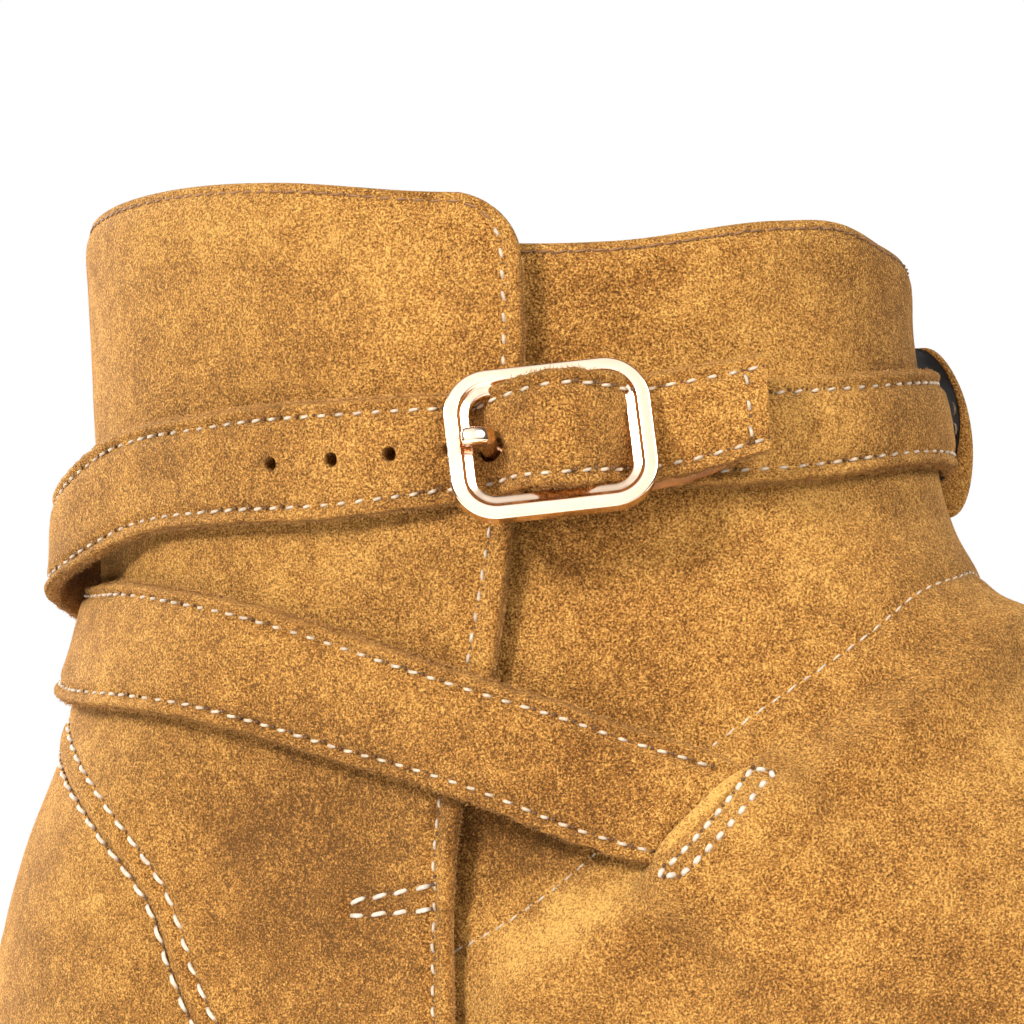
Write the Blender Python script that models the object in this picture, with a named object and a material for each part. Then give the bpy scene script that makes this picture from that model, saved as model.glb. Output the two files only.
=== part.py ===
"""Right ankle boot of suede with two wrap straps and a centre-bar buckle.

Frame: +X points to the toe, -Y to the outer side of the foot, +Z up. The origin is the middle of
the heel's tread. Lengths are in metres; the tables are in millimetres and degrees.
"""

import math

import bpy
import numpy as np
from mathutils import Matrix, Vector

MM = 0.001

# Sole and heel
GAP = 0.3 * MM
SOLE_THICKNESS = 6.0 * MM
SOLE_EDGE = 4.5 * MM
HEEL_HEIGHT = 21.0 * MM
HEEL_BREAST_X = 30.0 * MM
HEEL_TAPER = 2.0 * MM
TOE_SPRING = 10.0 * MM
TREAD_FROM_X = 104.0 * MM
TREAD_TO_X = 176.0 * MM
HEEL_SEAT_X = 26.0 * MM
INSOLE_THICKNESS = 3.0 * MM

# Upper
TOE_TIP_X = 247.0 * MM
WALL = 2.4 * MM
SHAFT_AXIS_X = 32.0 * MM
LEVEL_HEIGHT = 70.0 * MM
SHAFT_BLEND = (55.0 * MM, 100.0 * MM)
TOE_SWING = 4.0 * MM
TOE_SWING_FROM_X = 120.0 * MM
NOSE_SHARE = 1.25
HEEL_SHARE = 1.45

# Overlays: their inner face stands clear of the upper's facets
OVERLAY_STAND = 0.7 * MM
QUARTER_THICKNESS = 1.8 * MM
QUARTER_SKIVED = 0.9 * MM
QUARTER_BACK_GIRTH = 1.05
QUARTER_SEAM_ROWS = (70.0 * MM, 101.0 * MM)
FLAP_TOP = 156.5 * MM
FLAP_CORNER = 7.0 * MM
SEAM_GAP = 0.8 * MM
SEAM_GAP_GIRTH = 0.004
COUNTER_THICKNESS = 1.8 * MM
OVERLAY_FOOT = 2.5 * MM

# Straps, keeper and buckle
STRAP_THICKNESS = 2.2 * MM
KEEPER_TURN = (319.0, 337.0)
KEEPER_HEIGHT = (120.5 * MM, 141.5 * MM)
KEEPER_RISE = 4.0 * MM
KEEPER_THICKNESS = 1.6 * MM
BUCKLE_TURN = 54.0
BUCKLE_Z = 129.5 * MM
BUCKLE_TILT = math.radians(6.0)
BUCKLE_STAND = 5.4 * MM
FRAME_LENGTH = 22.6 * MM
FRAME_WIDTH = 17.0 * MM
FRAME_BAR = 2.5 * MM
FRAME_THICKNESS = 2.0 * MM
FRAME_CORNER = 5.0 * MM
FRAME_CHAMFER = 0.5 * MM
CENTRE_BAR_RADIUS = 1.1 * MM
CENTRE_BAR_STAND = 4.5 * MM
PRONG_RADIUS = 0.9 * MM
PRONG_CLEARANCE = 0.45 * MM
HOLE_RADIUS = 0.8 * MM
HOLE_TURNS = (71.0, 81.0, 92.0, 104.5)
DRILL_REACH = (1.0 * MM, 7.0 * MM)

# Fineness of the facets
UPPER_COLUMNS = 60
UPPER_RINGS = 22
QUARTER_COLUMNS = 16
QUARTER_ROWS_BELOW = 7
QUARTER_ROWS_BESIDE = 16
QUARTER_ROWS_ABOVE = 10
COUNTER_COLUMNS = 21
COUNTER_ROWS = 14
WRAP_STATIONS = 66
PUNCHED_STATIONS = 58
KEEPER_COLUMNS = 4
KEEPER_ROWS = 13
FRAME_CORNER_STEPS = 7
BAR_CORNERS = 8
OUTSOLE_STATIONS = 42
INSOLE_STATIONS = 34
HEEL_STATIONS = 20
END_CLOSENESS = 0.6
PLATE_TIP = 0.004
GIRTH_STEP = 0.002
HEIGHT_STEP = 0.4 * MM
HALVINGS = 36
SMOOTH_ANGLE = math.radians(40)


def table(names, rows):
    """Columns by name, as arrays."""
    return dict(zip(names, np.array(rows, float).T))


# Level sections of the last: where each ends at back and front, how long its round ends are, how
# full the foot is there, and the shaft's half-widths.
LAST = table(
    ("height", "back", "front", "heel_round", "nose", "fullness", "outer", "inner"),
    (
        (0, -33.0, 243, 36, 74, 0.93, 35.0, 34.0),
        (8, -35.5, 247, 37, 77, 0.985, 35.0, 34.0),
        (18, -36.5, 246, 38, 81, 1.00, 35.0, 34.0),
        (26, -36.5, 239, 38, 87, 1.00, 35.0, 34.0),
        (34, -36.3, 226, 38, 94, 0.99, 35.0, 34.0),
        (42, -35.8, 209, 38, 99, 0.98, 35.0, 34.0),
        (50, -35.2, 191, 38, 102, 0.97, 35.0, 34.0),
        (60, -34.4, 170, 38, 104, 0.96, 35.0, 34.0),
        (70, -33.0, 151, 38, 100, 0.95, 35.0, 34.0),
        (80, -29.8, 135, 38, 93, 0.95, 35.0, 34.0),
        (90, -25.0, 119, 38, 81, 0.95, 35.0, 34.0),
        (100, -20.8, 104.5, 41, 72, 0.95, 35.5, 34.5),
        (110, -18.2, 94, 46, 60, 0.95, 36.5, 35.5),
        (120, -17.8, 87, 49, 53, 0.95, 37.5, 37.0),
        (135, -19.2, 82.5, 50, 50.5, 0.95, 38.5, 38.0),
        (150, -20.3, 80.8, 50, 50.5, 0.95, 39.0, 39.0),
        (165, -21.0, 80.3, 50, 50.5, 0.95, 39.5, 39.5),
    ),
)

# Half-widths of the foot, seen from above
PLAN = table(
    ("x", "outer", "inner"),
    (
        (-40, 34.0, 34.0),
        (-10, 35.5, 35.0),
        (20, 36.5, 35.0),
        (50, 37.0, 33.5),
        (80, 39.0, 33.5),
        (110, 43.5, 36.5),
        (140, 48.5, 43.0),
        (165, 50.0, 47.5),
        (190, 49.0, 49.0),
        (215, 46.5, 47.5),
        (247, 41.0, 43.0),
    ),
)

# Height of the collar rim around the shaft: turn runs from the front over the outer side
COLLAR = table(
    ("turn", "upper_rim", "quarter_rim"),
    (
        (0, 152.0, 157.0),
        (10, 154.0, 157.0),
        (20, 153.8, 157.0),
        (45, 151.2, 156.0),
        (70, 151.5, 156.5),
        (98, 156.0, 158.2),
        (120, 157.0, 158.4),
        (150, 156.0, 156.6),
        (180, 152.5, 153.0),
        (240, 152.5, 153.0),
        (300, 150.5, 153.0),
        (340, 149.5, 155.0),
        (360, 152.0, 157.0),
    ),
)

# Front edge of the outer quarter, as it falls from the collar to the sole
FLAP_EDGE = table(
    ("height", "x"),
    (
        (0, 58.0),
        (20, 52.0),
        (40, 47.0),
        (60, 44.5),
        (90, 45.2),
        (105, 49.5),
        (118, 51.8),
        (139, 53.0),
        (160, 52.2),
    ),
)

# Seam between quarter and heel counter, as it rises from the sole to the back of the heel
COUNTER_SEAM = table(
    ("height", "girth_from_back"),
    (
        (0, 0.300),
        (20, 0.285),
        (40, 0.265),
        (60, 0.250),
        (72, 0.245),
        (78, 0.235),
        (83, 0.213),
        (88, 0.175),
        (92, 0.125),
        (95, 0.060),
        (97, -0.030),
        (99, -0.050),
    ),
)
COUNTER_TOP = 95.0 * MM

STRAP_COLUMNS = ("turn", "height", "stand", "width")

# Wrap strap: from the slit in the vamp, round the back and the inner side, to the buckle
WRAP_PATH = table(
    STRAP_COLUMNS,
    (
        (36, 89.2, 0.3, 13.6),
        (46, 92.0, 0.3, 13.6),
        (54, 94.6, 0.9, 13.6),
        (63, 96.7, 2.8, 13.6),
        (90, 101.0, 2.7, 13.8),
        (110, 103.8, 2.5, 14.0),
        (132, 105.2, 2.4, 14.0),
        (150, 105.2, 2.4, 13.8),
        (180, 106.8, 2.3, 13.4),
        (196, 108.5, 1.9, 13.2),
        (208, 110.2, 0.8, 13.1),
        (220, 112.0, 0.4, 12.9),
        (234, 114.3, 0.4, 12.7),
        (270, 120.5, 0.3, 12.2),
        (300, 127.0, 0.3, 11.8),
        (330, 131.0, 0.3, 11.4),
        (360, 131.8, 0.3, 11.0),
        (384, 130.2, 0.3, 11.0),
        (402, 129.6, 0.3, 11.0),
        (414, 129.4, 0.7, 11.0),
    ),
)

# Punched strap: from the inner slit, round the back over the wrap strap, to its tip past the buckle
PUNCHED_PATH = table(
    STRAP_COLUMNS,
    (
        (24, 131.3, 2.8, 11.0),
        (36, 130.4, 2.8, 11.0),
        (43, 130.0, 3.0, 11.0),
        (48, 129.7, 5.2, 11.0),
        (54, 129.4, 5.9, 11.0),
        (59, 128.9, 5.2, 11.0),
        (65, 128.3, 2.9, 11.0),
        (71, 127.8, 2.7, 11.2),
        (88, 127.0, 2.7, 11.3),
        (109, 126.2, 2.6, 11.5),
        (136, 123.8, 3.2, 11.8),
        (155, 118.2, 6.2, 12.2),
        (180, 111.0, 5.2, 12.8),
        (205, 105.0, 4.6, 13.2),
        (232, 99.8, 2.9, 13.6),
        (252, 96.5, 0.8, 13.6),
        (300, 91.0, 0.6, 13.6),
        (324, 89.2, 0.6, 13.6),
    ),
)

# Prong, along the strap from the centre bar and out from the boot
PRONG_PATH = table(
    ("along", "out"),
    (
        (-1.4, 4.4),
        (-3.2, 4.5),
        (-5.0, 5.8),
        (-6.8, 7.7),
        (-8.6, 8.7),
        (-11.2, 8.7),
    ),
)

SUEDE = (0.46, 0.27, 0.10)
SUEDE_STRAP = (0.48, 0.29, 0.11)
LEATHER = (0.30, 0.17, 0.08)
SOLE_LEATHER = (0.20, 0.12, 0.07)
ROSE_GOLD = (0.90, 0.72, 0.60)


def smooth(places, values, at):
    """A cubic through the points (places, values), read at the given places."""
    slopes = np.gradient(values, places)
    left = np.clip(np.searchsorted(places, at) - 1, 0, len(places) - 2)
    span = places[left + 1] - places[left]
    t = np.clip((at - places[left]) / span, 0, 1)
    start = (1 + 2 * t) * (1 - t) ** 2 * values[left] + t * (1 - t) ** 2 * span * slopes[left]
    end = t**2 * (3 - 2 * t) * values[left + 1] - t**2 * (1 - t) * span * slopes[left + 1]
    return start + end


def ease(start, end, at):
    """0 before start, 1 after end, and a smooth step between."""
    t = np.clip((at - start) / (end - start), 0, 1)
    return t * t * (3 - 2 * t)


def close_at_ends(count):
    """Steps from 0 to 1 that are closer together at both ends."""
    t = np.linspace(0, 1, count)
    return t - END_CLOSENESS * np.sin(2 * math.pi * t) / (2 * math.pi)


def feather_height(x):
    """Height of the line where upper meets sole: heel seat, arch, flat tread and toe spring."""
    arch = 1 - ease(HEEL_SEAT_X, TREAD_FROM_X, x)
    spring = np.clip((x - TREAD_TO_X) / (TOE_TIP_X - TREAD_TO_X), 0, 1.2) ** 1.7
    return SOLE_THICKNESS + GAP + arch * (HEEL_HEIGHT + GAP) + spring * TOE_SPRING


def skin_points(girth, height):
    """Points of the upper's outer face.

    girth runs from 0 at the front over the outer side to 1 at the back and on to 2 at the front,
    and height from 0 at the feather line. Each level section has a round nose, straight flanks
    and a round heel, and its half-width passes from the foot's plan to the shaft's.
    """
    girth = np.mod(girth, 2)
    outer_side = girth < 1
    level = {name: smooth(LAST["height"] * MM, LAST[name], height) for name in LAST}
    back, front = level["back"] * MM, level["front"] * MM
    nose, heel_round = level["nose"] * MM, level["heel_round"] * MM
    straight = np.maximum(front - nose - back - heel_round, 0)
    nose_run, heel_run = NOSE_SHARE * nose, HEEL_SHARE * heel_round
    run = np.where(outer_side, girth, 2 - girth) * (nose_run + straight + heel_run)
    nose_angle = np.clip(run / nose_run, 0, 1) * math.pi / 2
    heel_angle = np.clip((run - nose_run - straight) / heel_run, 0, 1) * math.pi / 2
    x = front - nose * (1 - np.cos(nose_angle)) - np.clip(run - nose_run, 0, straight)
    x = x - heel_round * np.sin(heel_angle)
    plan_x = PLAN["x"] * MM
    foot = np.where(outer_side, smooth(plan_x, PLAN["outer"], x), smooth(plan_x, PLAN["inner"], x))
    shaft = np.where(outer_side, level["outer"], level["inner"])
    shaft_share = ease(*SHAFT_BLEND, height)
    half = (foot * level["fullness"] * (1 - shaft_share) + shaft * shaft_share) * MM
    swing = TOE_SWING * ease(TOE_SWING_FROM_X, TOE_TIP_X, x)
    y = swing + np.where(outer_side, -1, 1) * half * np.sin(nose_angle) * np.cos(heel_angle)
    z = height + feather_height(x) * np.maximum(1 - height / LEVEL_HEIGHT, 0)
    return np.stack([x, y, z], axis=-1)


def skin_normals(girth, height):
    """Outward directions of the upper's face, from its two slopes."""
    low = np.maximum(height - HEIGHT_STEP, 0)
    around = skin_points(girth + GIRTH_STEP, height) - skin_points(girth - GIRTH_STEP, height)
    upward = skin_points(girth, height + HEIGHT_STEP) - skin_points(girth, low)
    normals = np.cross(upward, around)
    return normals / np.linalg.norm(normals, axis=-1, keepdims=True)


def lifted(girth, height, stand):
    """Points that stand off the upper's face by the given distance."""
    girth, height, stand = np.broadcast_arrays(girth, height, stand)
    return skin_points(girth, height) + stand[..., None] * skin_normals(girth, height)


def turn_of(girth, height):
    """Angle about the shaft's axis, in degrees, from the front over the outer side."""
    points = skin_points(girth, height)
    return np.degrees(np.arctan2(-points[..., 1], points[..., 0] - SHAFT_AXIS_X)) % 360


def turning_point(shape, most, before):
    """Where a test along 0 to most turns from true to false, by halving."""
    low, high = np.zeros(shape), np.full(shape, most)
    for _ in range(HALVINGS):
        middle = (low + high) / 2
        is_before = before(middle)
        low = np.where(is_before, middle, low)
        high = np.where(is_before, high, middle)
    return (low + high) / 2


def girth_at(turn, height):
    """The girth that lies at a turn about the shaft's axis."""
    turn, height = np.broadcast_arrays(np.mod(turn, 360), height)
    return turning_point(turn.shape, 2.0, lambda girth: turn_of(girth, height) < turn)


def material(name, colour, roughness, metallic=0.0):
    made = bpy.data.materials.new(name)
    made.use_nodes = True
    shader = made.node_tree.nodes["Principled BSDF"]
    shader.inputs["Base Color"].default_value = (*colour, 1)
    shader.inputs["Roughness"].default_value = roughness
    shader.inputs["Metallic"].default_value = metallic
    return made


def add_object(name, points, faces, finish=None):
    """A named mesh object, shaded smooth apart from its sharp edges."""
    mesh = bpy.data.meshes.new(name)
    mesh.from_pydata(np.asarray(points).tolist(), [], faces)
    mesh.shade_smooth()
    mesh.set_sharp_from_angle(angle=SMOOTH_ANGLE)
    obj = bpy.data.objects.new(name, mesh)
    bpy.context.scene.collection.objects.link(obj)
    if finish:
        mesh.materials.append(finish)
    return obj


def grid_faces(rows, columns, first, wraps, flipped):
    """Quads of a grid of points numbered row by row from first."""
    faces = []
    for row in range(rows - 1):
        for column in range(columns if wraps else columns - 1):
            after = (column + 1) % columns
            low, high = first + row * columns, first + (row + 1) * columns
            quad = (low + column, low + after, high + after, high + column)
            faces.append(quad[::-1] if flipped else quad)
    return faces


def walled_sheet(name, outer, inner, finish, wraps=False):
    """A closed solid between two grids of points, rows upwards and columns in order of girth."""
    rows, columns = outer.shape[:2]
    count = rows * columns
    faces = grid_faces(rows, columns, 0, wraps, True) + grid_faces(rows, columns, count, wraps, False)
    rim = [row * columns for row in range(rows)]
    edges = []
    for column in range(columns if wraps else columns - 1):
        after = (column + 1) % columns
        edges.append((column, after))
        edges.append((count - columns + after, count - columns + column))
    if not wraps:
        edges += [(rim[row + 1], rim[row]) for row in range(rows - 1)]
        edges += [(rim[row] + columns - 1, rim[row + 1] + columns - 1) for row in range(rows - 1)]
    faces += [(start, end, end + count, start + count) for start, end in edges]
    points = np.concatenate([outer.reshape(-1, 3), inner.reshape(-1, 3)])
    return add_object(name, points, faces, finish)


def rim_height(name, turn):
    return smooth(COLLAR["turn"], COLLAR[name], turn) * MM


def make_upper(finish):
    """One hollow wall from the feather line to the collar, open above and below."""
    girth = np.arange(UPPER_COLUMNS) * 2 / UPPER_COLUMNS
    rim = rim_height("upper_rim", turn_of(girth, np.full(UPPER_COLUMNS, LAST["height"][-2] * MM)))
    height = np.linspace(0, 1, UPPER_RINGS)[:, None] * rim[None, :]
    girth = np.broadcast_to(girth, height.shape)
    outer = lifted(girth, height, 0.0)
    inner = lifted(girth, height, -WALL)
    inner[0, :, 2] = feather_height(inner[0, :, 0])
    inner[-1, :, 2] = outer[-1, :, 2]
    return walled_sheet("upper", outer, inner, finish, wraps=True)


def seam_girth(height):
    """How far from the back the counter's seam lies, at each height."""
    return smooth(COUNTER_SEAM["height"] * MM, COUNTER_SEAM["girth_from_back"], height)


def flap_edge_girth(height):
    """Girth of the quarter's front edge, with its round top corner."""
    x = smooth(FLAP_EDGE["height"] * MM, FLAP_EDGE["x"], height) * MM
    into_corner = np.clip(height - (FLAP_TOP - FLAP_CORNER), 0, FLAP_CORNER)
    x = x - (FLAP_CORNER - np.sqrt(FLAP_CORNER**2 - into_corner**2))
    return turning_point(height.shape, 1.0, lambda girth: skin_points(girth, height)[..., 0] > x)


def quarter_grid():
    """Girth and height of the outer quarter, from its front edge back to the counter or back seam."""
    share = np.linspace(0, 1, QUARTER_COLUMNS)[None, :]
    collar = np.full((1, QUARTER_COLUMNS), LAST["height"][-2] * MM)
    edge = flap_edge_girth(collar)
    rim = rim_height("quarter_rim", turn_of(edge + (QUARTER_BACK_GIRTH - edge) * share, collar))
    seam_low, seam_high = QUARTER_SEAM_ROWS
    below = np.linspace(0, 1, QUARTER_ROWS_BELOW, endpoint=False)[:, None] ** 1.4
    below = OVERLAY_FOOT + (seam_low - OVERLAY_FOOT) * below
    beside = np.linspace(seam_low, seam_high, QUARTER_ROWS_BESIDE, endpoint=False)[:, None]
    above = 1 - (1 - np.linspace(0, 1, QUARTER_ROWS_ABOVE)[:, None]) ** 1.8
    height = np.concatenate([below + 0 * rim, beside + 0 * rim, seam_high + (rim - seam_high) * above])
    edge = flap_edge_girth(height)
    back = np.minimum(1 - seam_girth(height - SEAM_GAP) - SEAM_GAP_GIRTH, QUARTER_BACK_GIRTH)
    return edge + (back - edge) * share, height, share


def make_quarter(finish):
    """Outer quarter, lying on the upper, with its free front edge and a skived back edge."""
    girth, height, share = quarter_grid()
    thickness = QUARTER_THICKNESS + (QUARTER_SKIVED - QUARTER_THICKNESS) * share
    return walled_sheet(
        "quarter_flap",
        lifted(girth, height, OVERLAY_STAND + thickness),
        lifted(girth, height, OVERLAY_STAND),
        finish,
    )


def make_counter(finish):
    """Heel counter, lying on the upper round the back of the heel."""
    height = OVERLAY_FOOT + (COUNTER_TOP - OVERLAY_FOOT) * close_at_ends(COUNTER_ROWS)[:, None]
    girth = 1 + seam_girth(height) * np.linspace(-1, 1, COUNTER_COLUMNS)[None, :]
    girth, height = np.broadcast_arrays(girth, height)
    return walled_sheet(
        "heel_counter",
        lifted(girth, height, OVERLAY_STAND + COUNTER_THICKNESS),
        lifted(girth, height, OVERLAY_STAND),
        finish,
    )


def strap_grid(path, stations, across):
    """Girth, height and stand of a strap's face, square across its own run."""
    turn = np.linspace(path["turn"][0], path["turn"][-1], stations)
    height, stand, width = (smooth(path["turn"], path[name], turn) * MM for name in STRAP_COLUMNS[1:])
    points = skin_points(girth_at(turn, height), height)
    radius = np.linalg.norm(points[:, :2] - [SHAFT_AXIS_X, 0], axis=-1)
    run = np.gradient(np.radians(turn)) * radius
    rise = np.gradient(height)
    length = np.hypot(run, rise)
    offset = np.linspace(-0.5, 0.5, across)[:, None] * width
    turn = turn - np.degrees(offset * rise / length / radius)
    height = height + offset * run / length
    return girth_at(turn, height), height, np.broadcast_to(stand, height.shape)


def make_strap(name, path, stations, finish):
    girth, height, stand = strap_grid(path, stations, across=3)
    outer = lifted(girth, height, stand + STRAP_THICKNESS)
    return walled_sheet(name, outer, lifted(girth, height, stand), finish)


def make_keeper(finish):
    """Loop sewn to the upper above and below the wrap strap, arched over it."""
    rise = np.linspace(0, 1, KEEPER_ROWS)[:, None]
    height = KEEPER_HEIGHT[0] + (KEEPER_HEIGHT[1] - KEEPER_HEIGHT[0]) * rise
    turn = np.linspace(*KEEPER_TURN, KEEPER_COLUMNS)[None, :]
    turn, height = np.broadcast_arrays(turn, height)
    stand = GAP + KEEPER_RISE * ease(0.02, 0.20, rise) * (1 - ease(0.80, 0.98, rise))
    girth = girth_at(turn, height)
    outer = lifted(girth, height, stand + KEEPER_THICKNESS)
    return walled_sheet("keeper_loop", outer, lifted(girth, height, stand), finish)


def buckle_place():
    """Frame of the buckle: x along the strap towards its tip, y up, z out of the boot."""
    girth = girth_at(np.array(BUCKLE_TURN), np.array(BUCKLE_Z))
    out = Vector(skin_normals(girth, np.array(BUCKLE_Z)))
    up = (Vector((0, 0, 1)) - out * out.z).normalized()
    along = up.cross(out)
    turned = Matrix((along, up, out)).transposed() @ Matrix.Rotation(BUCKLE_TILT, 3, "Z")
    return Matrix.Translation(Vector(skin_points(girth, np.array(BUCKLE_Z)))) @ turned.to_4x4()


def rounded_loop(length, width, corner):
    """A rounded rectangle about the origin, and its outward directions."""
    count = 4 * FRAME_CORNER_STEPS
    angles = (np.arange(count) + 0.5) * 2 * math.pi / count
    outward = np.stack([np.cos(angles), np.sin(angles)], axis=-1)
    centre = np.sign(outward) * [length / 2 - corner, width / 2 - corner]
    return centre + corner * outward, outward


def make_buckle_frame(finish, place):
    """Rounded frame swept with a chamfered bar, and the centre bar joined across it."""
    corner = FRAME_CORNER - FRAME_BAR / 2
    loop, outward = rounded_loop(FRAME_LENGTH - FRAME_BAR, FRAME_WIDTH - FRAME_BAR, corner)
    side, top = FRAME_BAR / 2, FRAME_THICKNESS / 2
    low_side, low_top = side - FRAME_CHAMFER, top - FRAME_CHAMFER
    profile = [(side, -low_top), (side, low_top), (low_side, top), (-low_side, top)]
    profile += [(-side, low_top), (-side, -low_top), (-low_side, -top), (low_side, -top)]
    middle = np.full(len(loop), BUCKLE_STAND + top)
    rows = [np.column_stack([loop + outward * off, middle + out]) for off, out in profile]
    count = len(loop)
    last = (len(profile) - 1) * count
    faces = grid_faces(len(profile), count, 0, True, False)
    faces += [(last + c, last + (c + 1) % count, (c + 1) % count, c) for c in range(count)]
    frame = add_object("buckle_frame", np.concatenate(rows), faces, finish)
    bar_ends = (FRAME_WIDTH - FRAME_BAR) / 2
    bar_path = np.array([(0, -bar_ends, CENTRE_BAR_STAND), (0, bar_ends, CENTRE_BAR_STAND)])
    bar = tube("centre_bar_union", bar_path, CENTRE_BAR_RADIUS, (1, 0, 0))
    frame.matrix_world = place
    helper(bar, place)
    join(frame, bar, "UNION")
    return frame


def tube(name, path, radius, side, finish=None):
    """A capped round bar along a path; side is square to the whole path."""
    tangent = np.gradient(path, axis=0)
    tangent /= np.linalg.norm(tangent, axis=-1, keepdims=True)
    side = np.broadcast_to(np.array(side, float), path.shape)
    other = np.cross(tangent, side)
    angles = (np.arange(BAR_CORNERS) * 2 * math.pi / BAR_CORNERS)[None, :, None]
    rings = path[:, None] + radius * (np.cos(angles) * side[:, None] + np.sin(angles) * other[:, None])
    rows = len(path)
    faces = grid_faces(rows, BAR_CORNERS, 0, True, False)
    faces.append(tuple(range(BAR_CORNERS - 1, -1, -1)))
    faces.append(tuple(range((rows - 1) * BAR_CORNERS, rows * BAR_CORNERS)))
    return add_object(name, rings.reshape(-1, 3), faces, finish)


def helper(obj, place):
    obj.matrix_world = place
    obj.hide_render = True
    obj.display_type = "WIRE"


def join(obj, other, operation):
    boolean = obj.modifiers.new(f"{operation.lower()}_{other.name}", "BOOLEAN")
    boolean.operation = operation
    boolean.object = other
    boolean.solver = "EXACT"


def prong_path():
    along, out = PRONG_PATH["along"] * MM, PRONG_PATH["out"] * MM
    return np.column_stack([along, np.zeros(len(along)), out])


def make_prong(finish, place):
    """Prong from the centre bar up through the strap and over the far bar."""
    prong = tube("buckle_prong", prong_path(), PRONG_RADIUS, (0, 1, 0), finish)
    prong.matrix_world = place
    return prong


def punch_holes(strap, place):
    """The prong's own hole and a row of spare holes behind the buckle."""
    clearance = tube("prong_hole", prong_path(), PRONG_RADIUS + PRONG_CLEARANCE, (0, 1, 0))
    helper(clearance, place)
    join(strap, clearance, "DIFFERENCE")
    for number, turn in enumerate(HOLE_TURNS, 1):
        level = smooth(PUNCHED_PATH["turn"], PUNCHED_PATH["height"], np.array(turn)) * MM
        where = girth_at(np.array(turn), level)
        ends = np.array([lifted(where, level, reach) for reach in DRILL_REACH])
        side = np.cross(ends[1] - ends[0], (0, 0, 1))
        drill = tube(f"spare_hole_{number}", ends, HOLE_RADIUS, side / np.linalg.norm(side))
        helper(drill, Matrix())
        join(strap, drill, "DIFFERENCE")


def sole_edges(stations, outset, first=0.0):
    """Outer and inner edge points of a sole-shaped plate, from the toe to the heel."""
    share = (1 - np.cos(np.linspace(0, math.pi, stations))) / 2
    along = first + (1 - first) * (PLATE_TIP + (1 - 2 * PLATE_TIP) * share)
    level = np.zeros(stations)
    edges = []
    for girth in (along, 2 - along):
        around = (skin_points(girth + GIRTH_STEP, level) - skin_points(girth - GIRTH_STEP, level))[:, :2]
        normal = np.column_stack([around[:, 1], -around[:, 0]])
        normal /= -np.linalg.norm(normal, axis=-1, keepdims=True)
        edges.append(skin_points(girth, level)[:, :2] + outset * normal)
    return edges


def plate(name, edges, low, high, finish, across=3, taper=0.0):
    """A plate between two edge lines, with its faces at the heights that low and high give."""
    share = np.linspace(0, 1, across)[:, None, None]
    across_plate = edges[1] - edges[0]
    level = edges[0] + across_plate * share
    narrowing = taper * across_plate / np.linalg.norm(across_plate, axis=-1, keepdims=True)
    under = edges[0] + narrowing + (across_plate - 2 * narrowing) * share
    upper = np.concatenate([level, high(level[..., 0])[..., None]], axis=-1)
    lower = np.concatenate([under, low(level[..., 0])[..., None]], axis=-1)
    return walled_sheet(name, upper, lower, finish)


def make_outsole(finish):
    return plate(
        "outsole",
        sole_edges(OUTSOLE_STATIONS, SOLE_EDGE),
        lambda x: feather_height(x) - GAP - SOLE_THICKNESS,
        lambda x: feather_height(x) - GAP,
        finish,
    )


def make_insole(finish):
    return plate(
        "insole",
        sole_edges(INSOLE_STATIONS, -(WALL + 2 * GAP)),
        lambda x: feather_height(x),
        lambda x: feather_height(x) + INSOLE_THICKNESS,
        finish,
    )


def breast_girth():
    """Girth where the heel's front face crosses the sole's edge."""
    along = np.linspace(0, 1, 2001)
    return float(np.interp(-HEEL_BREAST_X, -skin_points(along, np.zeros(2001))[:, 0], along))


def make_heel(finish):
    return plate(
        "heel",
        sole_edges(HEEL_STATIONS, SOLE_EDGE, first=breast_girth()),
        lambda x: np.zeros(x.shape),
        lambda x: feather_height(x) - 2 * GAP - SOLE_THICKNESS,
        finish,
        taper=HEEL_TAPER,
    )


def main():
    for obj in list(bpy.data.objects):
        bpy.data.objects.remove(obj)
    suede = material("suede_upper", SUEDE, 0.95)
    quarter_suede = material("suede_quarter", SUEDE, 0.95)
    counter_suede = material("suede_counter", SUEDE, 0.95)
    strap_suede = material("suede_strap", SUEDE_STRAP, 0.95)
    punched_suede = material("suede_punched_strap", SUEDE_STRAP, 0.95)
    keeper_suede = material("suede_keeper", SUEDE_STRAP, 0.95)
    metal = material("rose_gold_frame", ROSE_GOLD, 0.15, 1.0)
    prong_metal = material("rose_gold_prong", ROSE_GOLD, 0.15, 1.0)
    make_outsole(material("sole_leather", SOLE_LEATHER, 0.6))
    make_heel(material("heel_leather", SOLE_LEATHER, 0.55))
    make_insole(material("insole_leather", LEATHER, 0.7))
    make_upper(suede)
    make_quarter(quarter_suede)
    make_counter(counter_suede)
    make_strap("wrap_strap", WRAP_PATH, WRAP_STATIONS, strap_suede)
    place = buckle_place()
    punched = make_strap("punched_strap", PUNCHED_PATH, PUNCHED_STATIONS, punched_suede)
    punch_holes(punched, place)
    make_keeper(keeper_suede)
    make_buckle_frame(metal, place)
    make_prong(prong_metal, place)


main()
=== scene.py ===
"""Looks of a right ankle boot in tan suede: panels, straps, buckle, stitches, sole and a plain studio.

Frame: +X points to the toe, -Y to the outer side of the foot, +Z up. Lengths are in metres; the
tables are in millimetres and degrees. The leather surfaces are functions of girth, which runs from
the front over the outer side to the back and on to the front, and of height above the sole.
"""

import math

import bpy
import numpy as np
from mathutils import Matrix, Vector


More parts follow.
